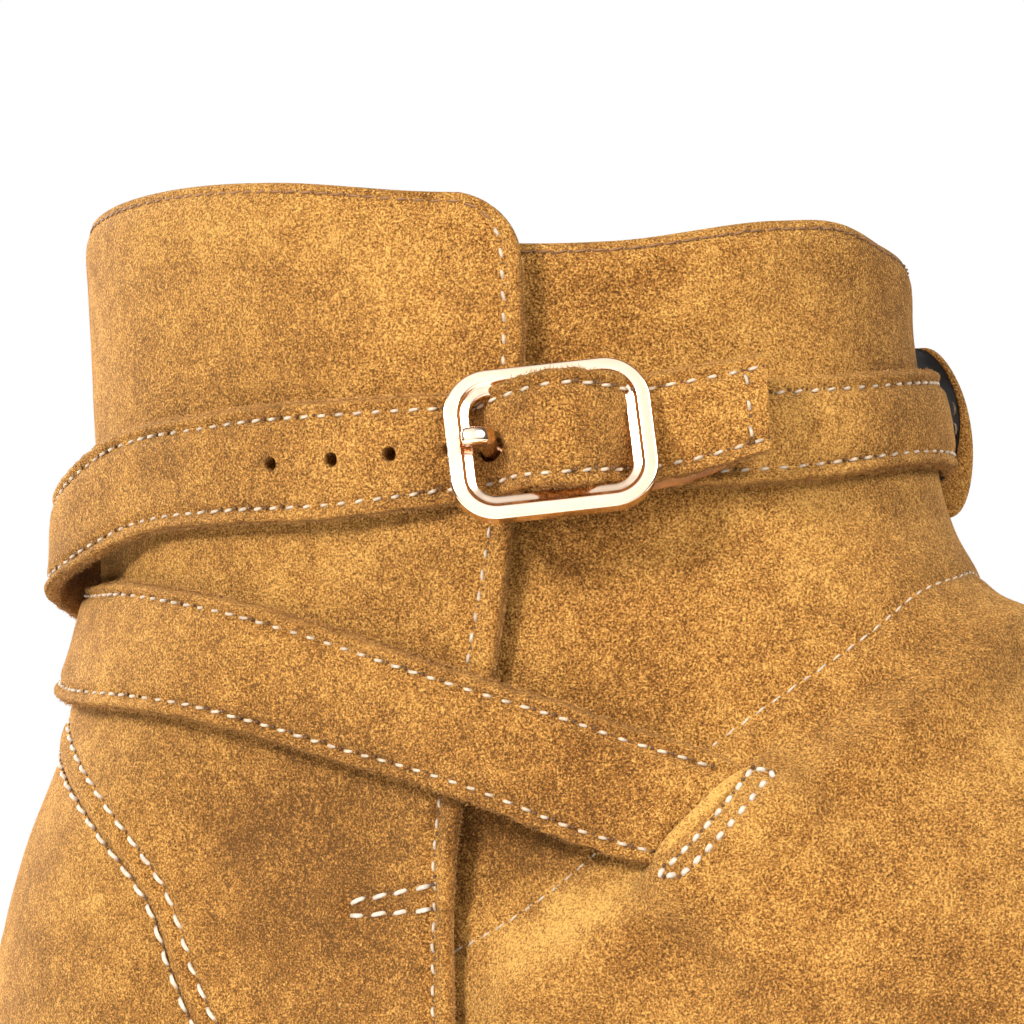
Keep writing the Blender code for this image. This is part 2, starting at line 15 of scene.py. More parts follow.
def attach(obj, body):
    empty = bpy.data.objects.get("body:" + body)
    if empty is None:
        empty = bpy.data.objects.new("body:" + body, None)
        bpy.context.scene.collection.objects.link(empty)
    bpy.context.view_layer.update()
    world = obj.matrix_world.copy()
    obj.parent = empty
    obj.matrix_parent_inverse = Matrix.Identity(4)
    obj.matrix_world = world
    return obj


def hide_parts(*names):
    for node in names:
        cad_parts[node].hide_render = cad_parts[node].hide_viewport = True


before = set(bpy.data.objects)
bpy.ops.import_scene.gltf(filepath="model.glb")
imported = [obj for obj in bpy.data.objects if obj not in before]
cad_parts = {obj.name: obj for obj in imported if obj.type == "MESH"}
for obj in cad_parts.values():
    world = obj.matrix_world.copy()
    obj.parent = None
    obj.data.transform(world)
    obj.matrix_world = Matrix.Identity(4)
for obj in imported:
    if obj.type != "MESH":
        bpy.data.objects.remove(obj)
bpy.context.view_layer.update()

MM = 0.001

# Sole, heel and upper, as in the solids
GAP = 0.3 * MM
SOLE_THICKNESS = 6.0 * MM
SOLE_EDGE = 4.5 * MM
HEEL_HEIGHT = 21.0 * MM
HEEL_BREAST_X = 30.0 * MM
HEEL_TAPER = 2.0 * MM
TOE_SPRING = 10.0 * MM
SPRING_MOST = 1.2
SPRING_POWER = 1.7
TREAD_FROM_X = 104.0 * MM
TREAD_TO_X = 176.0 * MM
HEEL_SEAT_X = 26.0 * MM
INSOLE_THICKNESS = 3.0 * MM
TOE_TIP_X = 247.0 * MM
WALL = 2.4 * MM
SHAFT_AXIS_X = 32.0 * MM
LEVEL_HEIGHT = 70.0 * MM
SHAFT_BLEND = (55.0 * MM, 100.0 * MM)
TOE_SWING = 4.0 * MM
TOE_SWING_FROM_X = 120.0 * MM
NOSE_SHARE = 1.25
HEEL_SHARE = 1.45
COLLAR_LEVEL = 150.0 * MM
GIRTH_STEP = 0.002
HEIGHT_STEP = 0.4 * MM
HALVINGS = 26
PLATE_TIP = 0.004

# Overlays, straps, keeper and buckle
OVERLAY_STAND = 0.7 * MM
QUARTER_THICKNESS = 1.8 * MM
QUARTER_BACK_GIRTH = 1.05
FLAP_TOP = 156.5 * MM
FLAP_CORNER = 7.0 * MM
COUNTER_THICKNESS = 1.8 * MM
COUNTER_TOP = 95.0 * MM
OVERLAY_FOOT = 2.5 * MM
STRAP_THICKNESS = 2.2 * MM
KEEPER_TURN = (319.0, 337.0)
KEEPER_HEIGHT = (120.5 * MM, 140.8 * MM)
KEEPER_RISE = 4.7 * MM
KEEPER_ROUND = 0.45
KEEPER_FOOT = 0.21
KEEPER_THICKNESS = 1.3 * MM
BUCKLE_TURN = 54.1
BUCKLE_Z = 126.9 * MM
BUCKLE_TILT = math.radians(6.5)
BUCKLE_LEAN = math.radians(17.0)
BUCKLE_YAW = math.radians(10.0)
BUCKLE_STAND = 6.8 * MM
FRAME_LENGTH = 22.3 * MM
FRAME_WIDTH = 16.9 * MM
FRAME_BAR = 2.8 * MM
FRAME_THICKNESS = 2.0 * MM
FRAME_CORNER = 5.0 * MM
CENTRE_BAR_RADIUS = 1.1 * MM
CENTRE_BAR_STAND = 5.9 * MM
HOLE_TURNS = (67.5, 77.0, 87.0, 98.5)


def table(names, rows):
    """Columns by name, as arrays."""
    return dict(zip(names, np.array(rows, float).T))


# Level sections of the last: both ends, length of the round ends, fullness and the shaft's half-widths
LAST = table(
    ("height", "back", "front", "heel_round", "nose", "fullness", "outer", "inner"),
    (
        (0, -33.0, 243, 36, 74, 0.93, 35.0, 34.0),
        (8, -35.5, 247, 37, 77, 0.985, 35.0, 34.0),
        (18, -36.5, 246, 38, 81, 1.00, 35.0, 34.0),
        (26, -36.5, 239, 38, 87, 1.00, 35.0, 34.0),
        (34, -36.3, 226, 38, 94, 0.99, 35.0, 34.0),
        (42, -35.8, 209, 38, 99, 0.98, 35.0, 34.0),
        (50, -35.2, 191, 38, 102, 0.97, 35.0, 34.0),
        (60, -34.4, 170, 38, 104, 0.96, 35.0, 34.0),
        (70, -33.0, 151, 38, 100, 0.95, 35.0, 34.0),
        (80, -29.8, 135, 38, 93, 0.95, 35.0, 34.0),
        (90, -25.0, 119, 38, 81, 0.95, 35.0, 34.0),
        (100, -20.8, 104.5, 41, 72, 0.95, 35.5, 34.5),
        (110, -18.2, 94, 46, 60, 0.95, 36.5, 35.5),
        (120, -17.8, 87, 49, 53, 0.95, 37.5, 37.0),
        (135, -19.2, 82.5, 50, 50.5, 0.95, 38.5, 38.0),
        (150, -20.3, 80.8, 50, 50.5, 0.95, 39.0, 39.0),
        (165, -21.0, 80.3, 50, 50.5, 0.95, 39.5, 39.5),
    ),
)

# Half-widths of the foot, seen from above
PLAN = table(
    ("x", "outer", "inner"),
    (
        (-40, 34.0, 34.0),
        (-10, 35.5, 35.0),
        (20, 36.5, 35.0),
        (50, 37.0, 33.5),
        (80, 39.0, 33.5),
        (110, 43.5, 36.5),
        (140, 48.5, 43.0),
        (165, 50.0, 47.5),
        (190, 49.0, 49.0),
        (215, 46.5, 47.5),
        (247, 41.0, 43.0),
    ),
)

# Height of the collar rim around the shaft: turn runs from the front over the outer side
COLLAR = table(
    ("turn", "upper_rim", "quarter_rim"),
    (
        (0, 152.0, 157.0),
        (10, 154.0, 157.0),
        (20, 153.8, 157.0),
        (45, 151.2, 156.0),
        (70, 151.5, 156.5),
        (98, 156.0, 158.2),
        (120, 157.0, 158.4),
        (150, 156.0, 156.6),
        (180, 152.5, 153.0),
        (240, 152.5, 153.0),
        (300, 150.5, 153.0),
        (340, 149.5, 155.0),
        (360, 152.0, 157.0),
    ),
)

# Front edge of the outer quarter, as it falls from the collar to the sole
FLAP_EDGE = table(
    ("height", "x"),
    (
        (0, 59.0),
        (20, 53.5),
        (40, 48.8),
        (60, 46.3),
        (90, 47.0),
        (105, 50.8),
        (118, 52.8),
        (139, 53.9),
        (160, 53.0),
    ),
)

# Seam between quarter and heel counter, as it rises from the sole to the back of the heel
COUNTER_SEAM = table(
    ("height", "girth_from_back"),
    (
        (0, 0.300),
        (20, 0.285),
        (40, 0.265),
        (60, 0.254),
        (72, 0.256),
        (78, 0.248),
        (83, 0.227),
        (88, 0.188),
        (92, 0.132),
        (95, 0.060),
        (97, -0.030),
        (99, -0.050),
    ),
)

STRAP_COLUMNS = ("turn", "height", "stand", "width")

# Wrap strap: from the slit in the vamp, round the back and the inner side, to the buckle
WRAP_PATH = table(
    STRAP_COLUMNS,
    (
        (30, 87.0, -1.6, 12.4),
        (36, 88.8, 0.2, 12.8),
        (46, 91.8, 1.9, 13.2),
        (54, 94.6, 3.0, 13.4),
        (63, 97.0, 3.4, 13.5),
        (90, 102.0, 3.3, 13.8),
        (110, 104.9, 3.5, 14.2),
        (132, 105.8, 3.1, 15.0),
        (150, 105.3, 2.5, 14.6),
        (180, 106.8, 2.3, 13.4),
        (196, 108.5, 1.9, 13.2),
        (208, 110.2, 0.8, 13.1),
        (220, 112.0, 0.4, 12.9),
        (234, 114.3, 0.4, 12.7),
        (270, 120.5, 0.3, 12.2),
        (300, 127.0, 0.3, 11.8),
        (330, 131.0, 0.3, 11.4),
        (360, 131.8, 0.3, 11.0),
        (384, 130.2, 0.3, 11.0),
        (402, 129.6, 0.3, 11.0),
        (414, 129.4, 0.7, 11.0),
    ),
)

# Punched strap: from the inner slit, round the back over the wrap strap, to its tip past the buckle
PUNCHED_PATH = table(
    STRAP_COLUMNS,
    (
        (27.5, 132.6, 4.5, 11.3),
        (32, 131.7, 3.7, 11.2),
        (38, 130.7, 2.8, 11.2),
        (43, 130.0, 3.1, 11.2),
        (46.5, 130.2, 6.2, 11.9),
        (52, 130.3, 8.3, 12.6),
        (58, 129.7, 6.2, 11.9),
        (62.5, 128.8, 2.9, 11.6),
        (71, 128.4, 2.7, 12.1),
        (88, 127.6, 2.7, 12.4),
        (109, 126.8, 2.6, 12.6),
        (136, 124.3, 3.2, 12.7),
        (155, 118.5, 6.2, 12.7),
        (180, 111.0, 5.2, 12.8),
        (205, 105.0, 4.6, 13.2),
        (232, 99.8, 2.9, 13.6),
        (252, 96.5, 0.8, 13.6),
        (300, 91.0, 0.6, 13.6),
        (324, 89.2, 0.6, 13.6),
    ),
)

# Prong, along the strap from the centre bar and out from the boot
PRONG_PATH = table(
    ("along", "out"),
    (
        (-1.4, 5.6),
        (-3.6, 4.2),
        (-5.5, 3.5),
        (-6.5, 5.4),
        (-6.9, 8.9),
        (-8.0, 9.75),
        (-8.9, 9.7),
    ),
)


def smooth(places, values, at):
    """A cubic through the points (places, values), read at the given places."""
    slopes = np.gradient(values, places)
    left = np.clip(np.searchsorted(places, at) - 1, 0, len(places) - 2)
    span = places[left + 1] - places[left]
    t = np.clip((at - places[left]) / span, 0, 1)
    start = (1 + 2 * t) * (1 - t) ** 2 * values[left] + t * (1 - t) ** 2 * span * slopes[left]
    end = t**2 * (3 - 2 * t) * values[left + 1] - t**2 * (1 - t) * span * slopes[left + 1]
    return start + end


def ease(start, end, at):
    """0 before start, 1 after end, and a smooth step between."""
    t = np.clip((at - start) / (end - start), 0, 1)
    return t * t * (3 - 2 * t)


def feather_height(x):
    """Height of the line where upper meets sole: heel seat, arch, flat tread and toe spring."""
    arch = 1 - ease(HEEL_SEAT_X, TREAD_FROM_X, x)
    spring = np.clip((x - TREAD_TO_X) / (TOE_TIP_X - TREAD_TO_X), 0, SPRING_MOST) ** SPRING_POWER
    return SOLE_THICKNESS + GAP + arch * (HEEL_HEIGHT + GAP) + spring * TOE_SPRING


def skin_points(girth, height):
    """Points of the upper's outer face.

    girth runs from 0 at the front over the outer side to 1 at the back and on to 2 at the front,
    and height from 0 at the feather line. Each level section has a round nose, straight flanks
    and a round heel, and its half-width passes from the foot's plan to the shaft's.
    """
    girth = np.mod(girth, 2)
    outer_side = girth < 1
    level = {name: smooth(LAST["height"] * MM, LAST[name], height) for name in LAST}
    back, front = level["back"] * MM, level["front"] * MM
    nose, heel_round = level["nose"] * MM, level["heel_round"] * MM
    straight = np.maximum(front - nose - back - heel_round, 0)
    nose_run, heel_run = NOSE_SHARE * nose, HEEL_SHARE * heel_round
    run = np.where(outer_side, girth, 2 - girth) * (nose_run + straight + heel_run)
    nose_angle = np.clip(run / nose_run, 0, 1) * math.pi / 2
    heel_angle = np.clip((run - nose_run - straight) / heel_run, 0, 1) * math.pi / 2
    x = front - nose * (1 - np.cos(nose_angle)) - np.clip(run - nose_run, 0, straight)
    x = x - heel_round * np.sin(heel_angle)
    plan_x = PLAN["x"] * MM
    foot = np.where(outer_side, smooth(plan_x, PLAN["outer"], x), smooth(plan_x, PLAN["inner"], x))
    shaft = np.where(outer_side, level["outer"], level["inner"])
    shaft_share = ease(*SHAFT_BLEND, height)
    half = (foot * level["fullness"] * (1 - shaft_share) + shaft * shaft_share) * MM
    swing = TOE_SWING * ease(TOE_SWING_FROM_X, TOE_TIP_X, x)
    y = swing + np.where(outer_side, -1, 1) * half * np.sin(nose_angle) * np.cos(heel_angle)
    z = height + feather_height(x) * np.maximum(1 - height / LEVEL_HEIGHT, 0)
    return np.stack([x, y, z], axis=-1)


def unit(vectors):
    """The same directions, each with a length of one."""
    return vectors / np.linalg.norm(vectors, axis=-1, keepdims=True)


def skin_normals(girth, height):
    """Outward directions of the upper's face, square to its two slopes."""
    low = np.maximum(height - HEIGHT_STEP, 0)
    around = skin_points(girth + GIRTH_STEP, height) - skin_points(girth - GIRTH_STEP, height)
    upward = skin_points(girth, height + HEIGHT_STEP) - skin_points(girth, low)
    return unit(np.cross(upward, around))


def lifted(girth, height, stand):
    """Points that stand off the upper's face by the given distance."""
    girth, height, stand = np.broadcast_arrays(girth, height, stand)
    return skin_points(girth, height) + stand[..., None] * skin_normals(girth, height)


def turn_of(girth, height):
    """Angle about the shaft's axis, in degrees, from the front over the outer side."""
    points = skin_points(girth, height)
    return np.degrees(np.arctan2(-points[..., 1], points[..., 0] - SHAFT_AXIS_X)) % 360


def turning_point(shape, most, before):
    """Where a test along 0 to most turns from true to false, by halving."""
    low, high = np.zeros(shape), np.full(shape, most)
    for _ in range(HALVINGS):
        middle = (low + high) / 2
        is_before = before(middle)
        low = np.where(is_before, middle, low)
        high = np.where(is_before, high, middle)
    return (low + high) / 2


def girth_at(turn, height):
    """The girth that lies at a turn about the shaft's axis, found by halving."""
    turn, height = np.broadcast_arrays(np.mod(turn, 360), height)
    return turning_point(turn.shape, 2.0, lambda girth: turn_of(girth, height) < turn)


def rim_height(name, turn):
    """Height of a collar rim at a turn about the shaft's axis."""
    return smooth(COLLAR["turn"], COLLAR[name], turn) * MM


def seam_girth(height):
    """How far from the back the counter's seam lies, at each height."""
    return smooth(COUNTER_SEAM["height"] * MM, COUNTER_SEAM["girth_from_back"], height)


def flap_edge_girth(height):
    """Girth of the quarter's front edge, with its round top corner."""
    x = smooth(FLAP_EDGE["height"] * MM, FLAP_EDGE["x"], height) * MM
    into_corner = np.clip(height - (FLAP_TOP - FLAP_CORNER), 0, FLAP_CORNER)
    x = x - (FLAP_CORNER - np.sqrt(FLAP_CORNER**2 - into_corner**2))
    return turning_point(height.shape, 1.0, lambda girth: skin_points(girth, height)[..., 0] > x)


# Fineness of the visible surfaces
UPPER_OUTER_COLUMNS = 270
UPPER_INNER_COLUMNS = 130
FOOT_ROWS = 30
FOOT_SHARE = 0.36
ANKLE_ROWS = 165
RIM_ROWS = 9
LINING_ROWS = 36
QUARTER_FOOT_ROWS = 26
QUARTER_SHAFT_ROWS = 158
QUARTER_COLUMNS = 158
COUNTER_FOOT_ROWS = 22
COUNTER_ANKLE_ROWS = 80
COUNTER_COLUMNS = 190
EDGE_STEPS = np.array([0.02, 0.10, 0.24, 0.45, 0.75, 1.1]) * MM
CRISP_ANGLE = math.radians(40)
FAR_AWAY = 1.0

# Points of the lines that stitch rows follow, before they are set at an even spacing
EDGE_POINTS = 300
CORNER_POINTS = 40
RIM_POINTS = 200
FRONT_RIM_POINTS = 500
TURN_POINTS = 400
STRAIGHT_POINTS = 60
ROW_POINT_SPACING = 0.5 * MM

# How far a stitch row pulls the leather in, and how the leather puffs up beside it
ROW_DEPTH = 0.32 * MM
ROW_WIDTH = 0.75 * MM
ROW_PUFF = 0.20 * MM
ROW_PUFF_WIDTH = 2.4 * MM
ROW_REACH = 14.0 * MM


def grid_quads(rows, columns, ring=False, around=False):
    """Quads of a grid of points: rows upwards and columns in order of girth face outwards."""
    row = np.arange(rows if ring else rows - 1)[:, None]
    column = np.arange(columns if around else columns - 1)[None, :]
    above, beside = (row + 1) % rows, (column + 1) % columns
    corners = (
        row * columns + column,
        above * columns + column,
        above * columns + beside,
        row * columns + beside,
    )
    return np.stack(np.broadcast_arrays(*corners), axis=-1).reshape(-1, 4)


def sheet_quads(rows, columns):
    """Quads of a closed sheet: an outer grid, an inner grid behind it and walls along its four edges."""
    count = rows * columns
    outer = grid_quads(rows, columns)
    number = np.arange(count).reshape(rows, columns)
    rim = np.concatenate([number[0], number[1:, -1], number[-1, -2::-1], number[-2:0:-1, 0]])
    after = np.roll(rim, -1)
    walls = np.stack([rim, after, after + count, rim + count], axis=-1)
    return np.concatenate([outer, outer[:, ::-1] + count, walls])


def run_caps(rows, columns):
    """Faces that close both ends of a ring of rows carried along a run of columns."""
    loop = np.arange(rows) * columns
    return loop, loop[::-1] + columns - 1


def rod_faces(rings, sides):
    """Quads of rings carried along a rod, and the two caps that close its ends."""
    last = (rings - 1) * sides
    caps = (range(sides - 1, -1, -1), range(last, last + sides))
    return grid_quads(rings, sides, around=True)[:, ::-1], caps


def ring_angles(count):
    """Angles of points set evenly round a ring, as a column."""
    return (np.arange(count) * 2 * math.pi / count)[:, None]


def add_piece(
    name, points, quads, finishes, slot, replaced=(), caps=(), finish_of_face=None, crisp=False, **values
):
    """A smooth mesh piece that rides on the boot, with its finishes and values kept at its points."""
    mesh = bpy.data.meshes.new(name)
    points = np.asarray(points).reshape(-1, 3)
    faces = quads.tolist() + [list(cap) for cap in caps]
    mesh.from_pydata(points.tolist(), [], faces)
    mesh.shade_smooth()
    if crisp:
        mesh.set_sharp_from_angle(angle=CRISP_ANGLE)
    for finish in finishes:
        mesh.materials.append(finish)
    if finish_of_face is not None:
        mesh.polygons.foreach_set("material_index", finish_of_face)
    for value_name, value in values.items():
        kept = mesh.attributes.new(value_name, "FLOAT", "POINT")
        kept.data.foreach_set("value", np.asarray(value, np.float32).ravel())
    piece = bpy.data.objects.new(name, mesh)
    bpy.context.scene.collection.objects.link(piece)
    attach(piece, "root")
    if replaced:
        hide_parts(*replaced)
    return piece


def run_along(points, axis):
    """Distance along a grid of points from the start of one of its axes."""
    steps = np.linalg.norm(np.diff(points, axis=axis), axis=-1)
    lead = np.zeros_like(np.take(steps, [0], axis=axis))
    return np.concatenate([lead, np.cumsum(steps, axis=axis)], axis=axis)


def girth_scale(girth, height):
    """Metres of surface to one unit of girth."""
    step = skin_points(girth + GIRTH_STEP, height) - skin_points(girth - GIRTH_STEP, height)
    return np.linalg.norm(step, axis=-1) / (2 * GIRTH_STEP)


def beside(girth, height, offset):
    """A line on the surface moved sideways by an offset, to its left as it runs."""
    scale = girth_scale(girth, height)
    run, rise = np.gradient(girth) * scale, np.gradient(height)
    length = np.hypot(run, rise)
    return girth - offset * rise / length / scale, height + offset * run / length


def evenly(girth, height, spacing):
    """The same line with its points at an even spacing along the surface."""
    run = run_along(skin_points(girth, height)[None], 1)[0]
    count = max(int(round(run[-1] / spacing)), 2)
    at = np.linspace(0, run[-1], count + 1)
    return np.interp(at, run, girth), np.interp(at, run, height)


def row_distance(points, row):
    """Distance from each point of a grid to the nearest point of a stitch row on the surface."""
    flat = points.reshape(-1, 3)
    nearest = np.full(len(flat), FAR_AWAY)
    low, high = row.min(axis=0) - ROW_REACH, row.max(axis=0) + ROW_REACH
    near = ((flat > low) & (flat < high)).all(axis=-1)
    close = flat[near]
    least = np.full(len(close), FAR_AWAY)
    for place in row:
        least = np.minimum(least, ((close - place) ** 2).sum(axis=-1))
    nearest[near] = np.sqrt(least)
    return nearest.reshape(points.shape[:-1])


def row_relief(points, rows):
    """How stitch rows draw the surface in: a narrow trough on each row and a soft puff beside it."""
    relief = np.zeros(points.shape[:-1])
    for row in rows:
        away = row_distance(points, row)
        relief += ROW_PUFF * np.exp(-(((away - ROW_PUFF_WIDTH) / ROW_PUFF_WIDTH) ** 2))
        relief -= (ROW_DEPTH + ROW_PUFF / math.e) * np.exp(-((away / ROW_WIDTH) ** 2))
    return relief


# Long low waves of worn leather: direction, wavelength and height of each
WAVES = (
    ((0.30, 0.10, 1.00), 0.047, 0.22 * MM),
    ((0.90, -0.40, 0.35), 0.031, 0.16 * MM),
    ((-0.55, 0.30, 0.80), 0.022, 0.12 * MM),
    ((0.80, 0.60, -0.50), 0.016, 0.08 * MM),
    ((0.20, -0.90, 0.60), 0.011, 0.05 * MM),
)
WAVE_SHIFT = 1.7


def worn_waves(points):
    """Sum of a few long sine waves across the boot."""
    relief = np.zeros(points.shape[:-1])
    for number, (direction, wavelength, height) in enumerate(WAVES):
        along = points @ (np.array(direction) / np.linalg.norm(direction))
        relief += height * np.sin(2 * math.pi * along / wavelength + WAVE_SHIFT * number)
    return relief


def rounding(distance, radius):
    """Share of the thickness left at a distance from a cut edge: a quarter circle."""
    t = np.clip(distance / radius, 0.0, 1.0)
    return np.maximum(np.sqrt(1 - (1 - t) ** 2), CUT_LEAST)


# Stitch row over the instep and the soft roll below it
VAMP_ROW = table(
    ("turn", "height"),
    (
        (-74, 72),
        (-62, 76.5),
        (-50, 84),
        (-37, 95),
        (-27, 104),
        (-17, 111),
        (-8, 114.7),
        (2, 114.4),
        (10, 112.8),
        (19, 108),
        (27.5, 102.4),
        (36, 96),
        (49.7, 84),
        (55.5, 80),
        (68, 74),
        (80, 71),
    ),
)
RIDGE_BELOW = 6.8 * MM
RIDGE_HEIGHT = 3.0 * MM
RIDGE_FADE = (-1.0 * MM, 8.0 * MM)
RIDGE_WIDTH = 4.3 * MM
RIDGE_POINT_SPACING = 1.5 * MM

# Hollow of the front panel: turn and height of its middle, reach and depth in mm
HOLLOW = (59.0, 87.0, 9.0, 1.4)

# Slit on each side that takes a strap's end: its lip and the closed row beside it, as (girth, height)
SLIT_LIP = ((0.351, 93.6), (0.441, 83.9))
INNER_SLIT_LIP = tuple((2 - girth, height) for girth, height in SLIT_LIP)
SLIT_BOX = ((0.3485, 93.3), (0.441, 82.3), (0.4305, 82.2), (0.341, 92.5))
SLIT_RISE = 3.3 * MM
SLIT_STEP = 0.40 * MM
SLIT_SWELL = (2.0 * MM, 26.0 * MM)
SLIT_ENDS = (6.2 * MM, 12.0 * MM)
SLIT_REACH = 20 * MM
LIP_WIDTH = 1.9 * MM
LIP_HEIGHT = 0.85 * MM
LIP_PAST = 0.08
LIP_LEAST = 0.02
LIP_SIDES = 14

# Rows of the quarter: how far inside its edges, and the bar tack at the flap's foot as (x, height)
FLAP_ROW_INSET = 2.0 * MM
RIM_ROW_INSET = 1.0 * MM
RIM_ROW_FROM = (150 * MM, 157 * MM)
FLAP_BEND = 86
RIM_START = 0.01
FRONT_RIM_GIRTH = (0.52, -0.94)
SEAM_ROW_APART = 3.4 * MM
SEAM_ROW_TOP = 94 * MM
INNER_SEAM_INSET = 1.2 * MM
SEAM_LAP = 0.005
TACK = ((43.5, 80.6), (32.6, 78.3), (33.0, 76.8), (43.5, 78.0))

# Relief of the quarter and the counter, and how their edges thin out
COUNTER_STEP = 0.5 * MM
QUARTER_WAVES = 0.8
COUNTER_WAVES = 0.5
FLAP_LIFT = table(
    ("height", "lift"),
    ((0, 0.1), (60, 0.2), (95, 0.3), (115, 0.6), (140, 1.0), (160, 1.5)),
)
FLAP_LIFT_REACH = 9.0 * MM
RIM_CURL = 1.3 * MM
RIM_CURL_REACH = 5.0 * MM
RIM_CURL_GIRTH = (0.45, 0.75)
RIM_WEAR = 0.3
RIM_WEAR_REACH = 0.8 * MM
CUT_ROUND = 0.8 * MM
CUT_LEAST = 0.15
CUT_WEAR_REACH = 0.45 * MM
UNWORN = 5 * MM
SKIVED_BY = 1.4 * MM
SKIVED_FROM = (12 * MM, 1 * MM)
LAP_SINK = 0.35 * MM
LAP_SINK_FROM = (3.5 * MM, 0.3 * MM)

# Levels where the panels' rows grow closer, and the sizes that their steps are worked out from
QUARTER_LEVEL = 58 * MM
COUNTER_LEVEL = 50 * MM
QUARTER_RIM_RUN = 112 * MM
QUARTER_LEAST_RUN = 20 * MM
COUNTER_LEAST_RUN = 12 * MM
COUNTER_HALF_GIRTH = 170 * MM
COUNTER_PAST = 1 * MM
RIM_TRIES = 3
RIM_ROOM = 0.001 * MM


def line_at_turns(path):
    """A line on the upper through a table of turns and heights, as even girth and height."""
    turn = np.linspace(path["turn"][0], path["turn"][-1], TURN_POINTS)
    height = smooth(path["turn"], path["height"], turn) * MM
    girth = girth_at(turn, height)
    return evenly(np.where(turn < 0, girth - 2, girth), height, ROW_POINT_SPACING)


def line_through(corners):
    """Straight runs on the surface through (girth, height in mm) corners, as even girth and height."""
    corners = np.array(corners) * (1, MM)
    share = np.linspace(0, len(corners) - 1, STRAIGHT_POINTS * len(corners))
    number = np.arange(len(corners))
    girth = np.interp(share, number, corners[:, 0])
    return evenly(girth, np.interp(share, number, corners[:, 1]), ROW_POINT_SPACING)


def mirrored(line):
    """The same line on the boot's inner side, where girth counts back from 2."""
    return 2 - line[0], line[1]


def girth_at_x(x, height):
    """Girth on the outer side that lies at a place along the boot."""
    x, height = np.broadcast_arrays(x, height)
    return turning_point(height.shape, 1.0, lambda girth: skin_points(girth, height)[..., 0] > x)


def collar_line(name, girths, inset):
    """A line that runs a little below a collar rim."""
    turn = turn_of(girths, np.full(girths.shape, COLLAR_LEVEL))
    return evenly(girths, rim_height(name, turn) - inset, ROW_POINT_SPACING)


def quarter_edge_line():
    """The quarter's free edge: up its front, round the corner and back along the rim."""
    start = FLAP_TOP - FLAP_CORNER
    bend = np.radians(np.linspace(0, FLAP_BEND, CORNER_POINTS)[1:])
    front = np.linspace(OVERLAY_FOOT, start, EDGE_POINTS)
    height = np.concatenate([front, start + FLAP_CORNER * np.sin(bend)])
    girth = flap_edge_girth(height)
    rim = np.linspace(girth[-1] + RIM_START, QUARTER_BACK_GIRTH, RIM_POINTS)
    turn = turn_of(rim, np.full(rim.shape, COLLAR_LEVEL))
    height = np.concatenate([height, rim_height("quarter_rim", turn)])
    return evenly(np.concatenate([girth, rim]), height, ROW_POINT_SPACING)


def row_beside(row, offset):
    """A row moved sideways by an offset, to its left as it runs, with its points at an even spacing."""
    return evenly(*beside(*row, offset), ROW_POINT_SPACING)


def quarter_edge_row():
    """The stitch row that follows the quarter's free edge, a little closer to it along the rim."""
    girth, height = quarter_edge_line()
    inset = FLAP_ROW_INSET + (RIM_ROW_INSET - FLAP_ROW_INSET) * ease(*RIM_ROW_FROM, height)
    return row_beside((girth, height), -inset)


def counter_seam_line():
    """The counter's seam on the outer side, from the sole up to the back of the heel."""
    height = np.linspace(OVERLAY_FOOT, SEAM_ROW_TOP, EDGE_POINTS)
    return evenly(1 - seam_girth(height), height, ROW_POINT_SPACING)


def tack_row():
    """The narrow bar tack at the flap's foot."""
    x, height = (np.array(TACK) * MM).T
    return line_through(np.stack([girth_at_x(x, height), height / MM], axis=-1))


seam_row = counter_seam_line()
front_seam_row = row_beside(seam_row, SEAM_ROW_APART)
slit_row = line_through(SLIT_BOX + SLIT_BOX[:1])
vamp_row = line_at_turns(VAMP_ROW)
front_rim_girths = np.linspace(*FRONT_RIM_GIRTH, FRONT_RIM_POINTS)
front_rim_row = collar_line("upper_rim", front_rim_girths, RIM_ROW_INSET)
upper_rows = [vamp_row, front_rim_row, slit_row, mirrored(slit_row)]
quarter_rows = [quarter_edge_row(), seam_row, front_seam_row, tack_row()]
inner_seam_row = mirrored(row_beside(seam_row, -INNER_SEAM_INSET))
inner_second_row = mirrored(row_beside(seam_row, -INNER_SEAM_INSET - SEAM_ROW_APART))
counter_rows = [inner_seam_row, inner_second_row]


def row_points(rows):
    """Points of the upper's face along each row."""
    return [skin_points(*row) for row in rows]


upper_row_points = row_points(upper_rows)
quarter_row_points = row_points(quarter_rows)
counter_row_points = row_points(counter_rows)
ridge_points = skin_points(*evenly(*beside(*vamp_row, -RIDGE_BELOW), RIDGE_POINT_SPACING))


def slit_swell(points, lip):
    """Leather that rises over the strap's end: a short step at the lip, easing off ahead of it."""
    top, bottom = skin_points(*(np.array(lip).T * [[1], [MM]]))
    along = (bottom - top) / np.linalg.norm(bottom - top)
    girth, height = np.array(lip).mean(axis=0) * (1, MM)
    out = skin_normals(girth, height)
    ahead = np.cross(along, out)
    ahead *= np.sign(ahead[0])
    offset = points - (top + bottom) / 2
    past, ahead_of, off = (np.abs(offset @ along), offset @ ahead, np.abs(offset @ out))
    swell = ease(-SLIT_STEP, SLIT_STEP, ahead_of) * (1 - ease(*SLIT_SWELL, ahead_of))
    return SLIT_RISE * swell * (1 - ease(*SLIT_ENDS, past)) * (off < SLIT_REACH)


def hollow(points):
    """A round dip, as a bell curve, where the front panel passes under the flap and the wrap strap."""
    turn, level, reach, depth = HOLLOW
    level = np.array(level * MM)
    middle = skin_points(girth_at(np.array(turn), level), level)
    away = np.linalg.norm(points - middle, axis=-1)
    return -depth * MM * np.exp(-((away / (reach * MM)) ** 2))


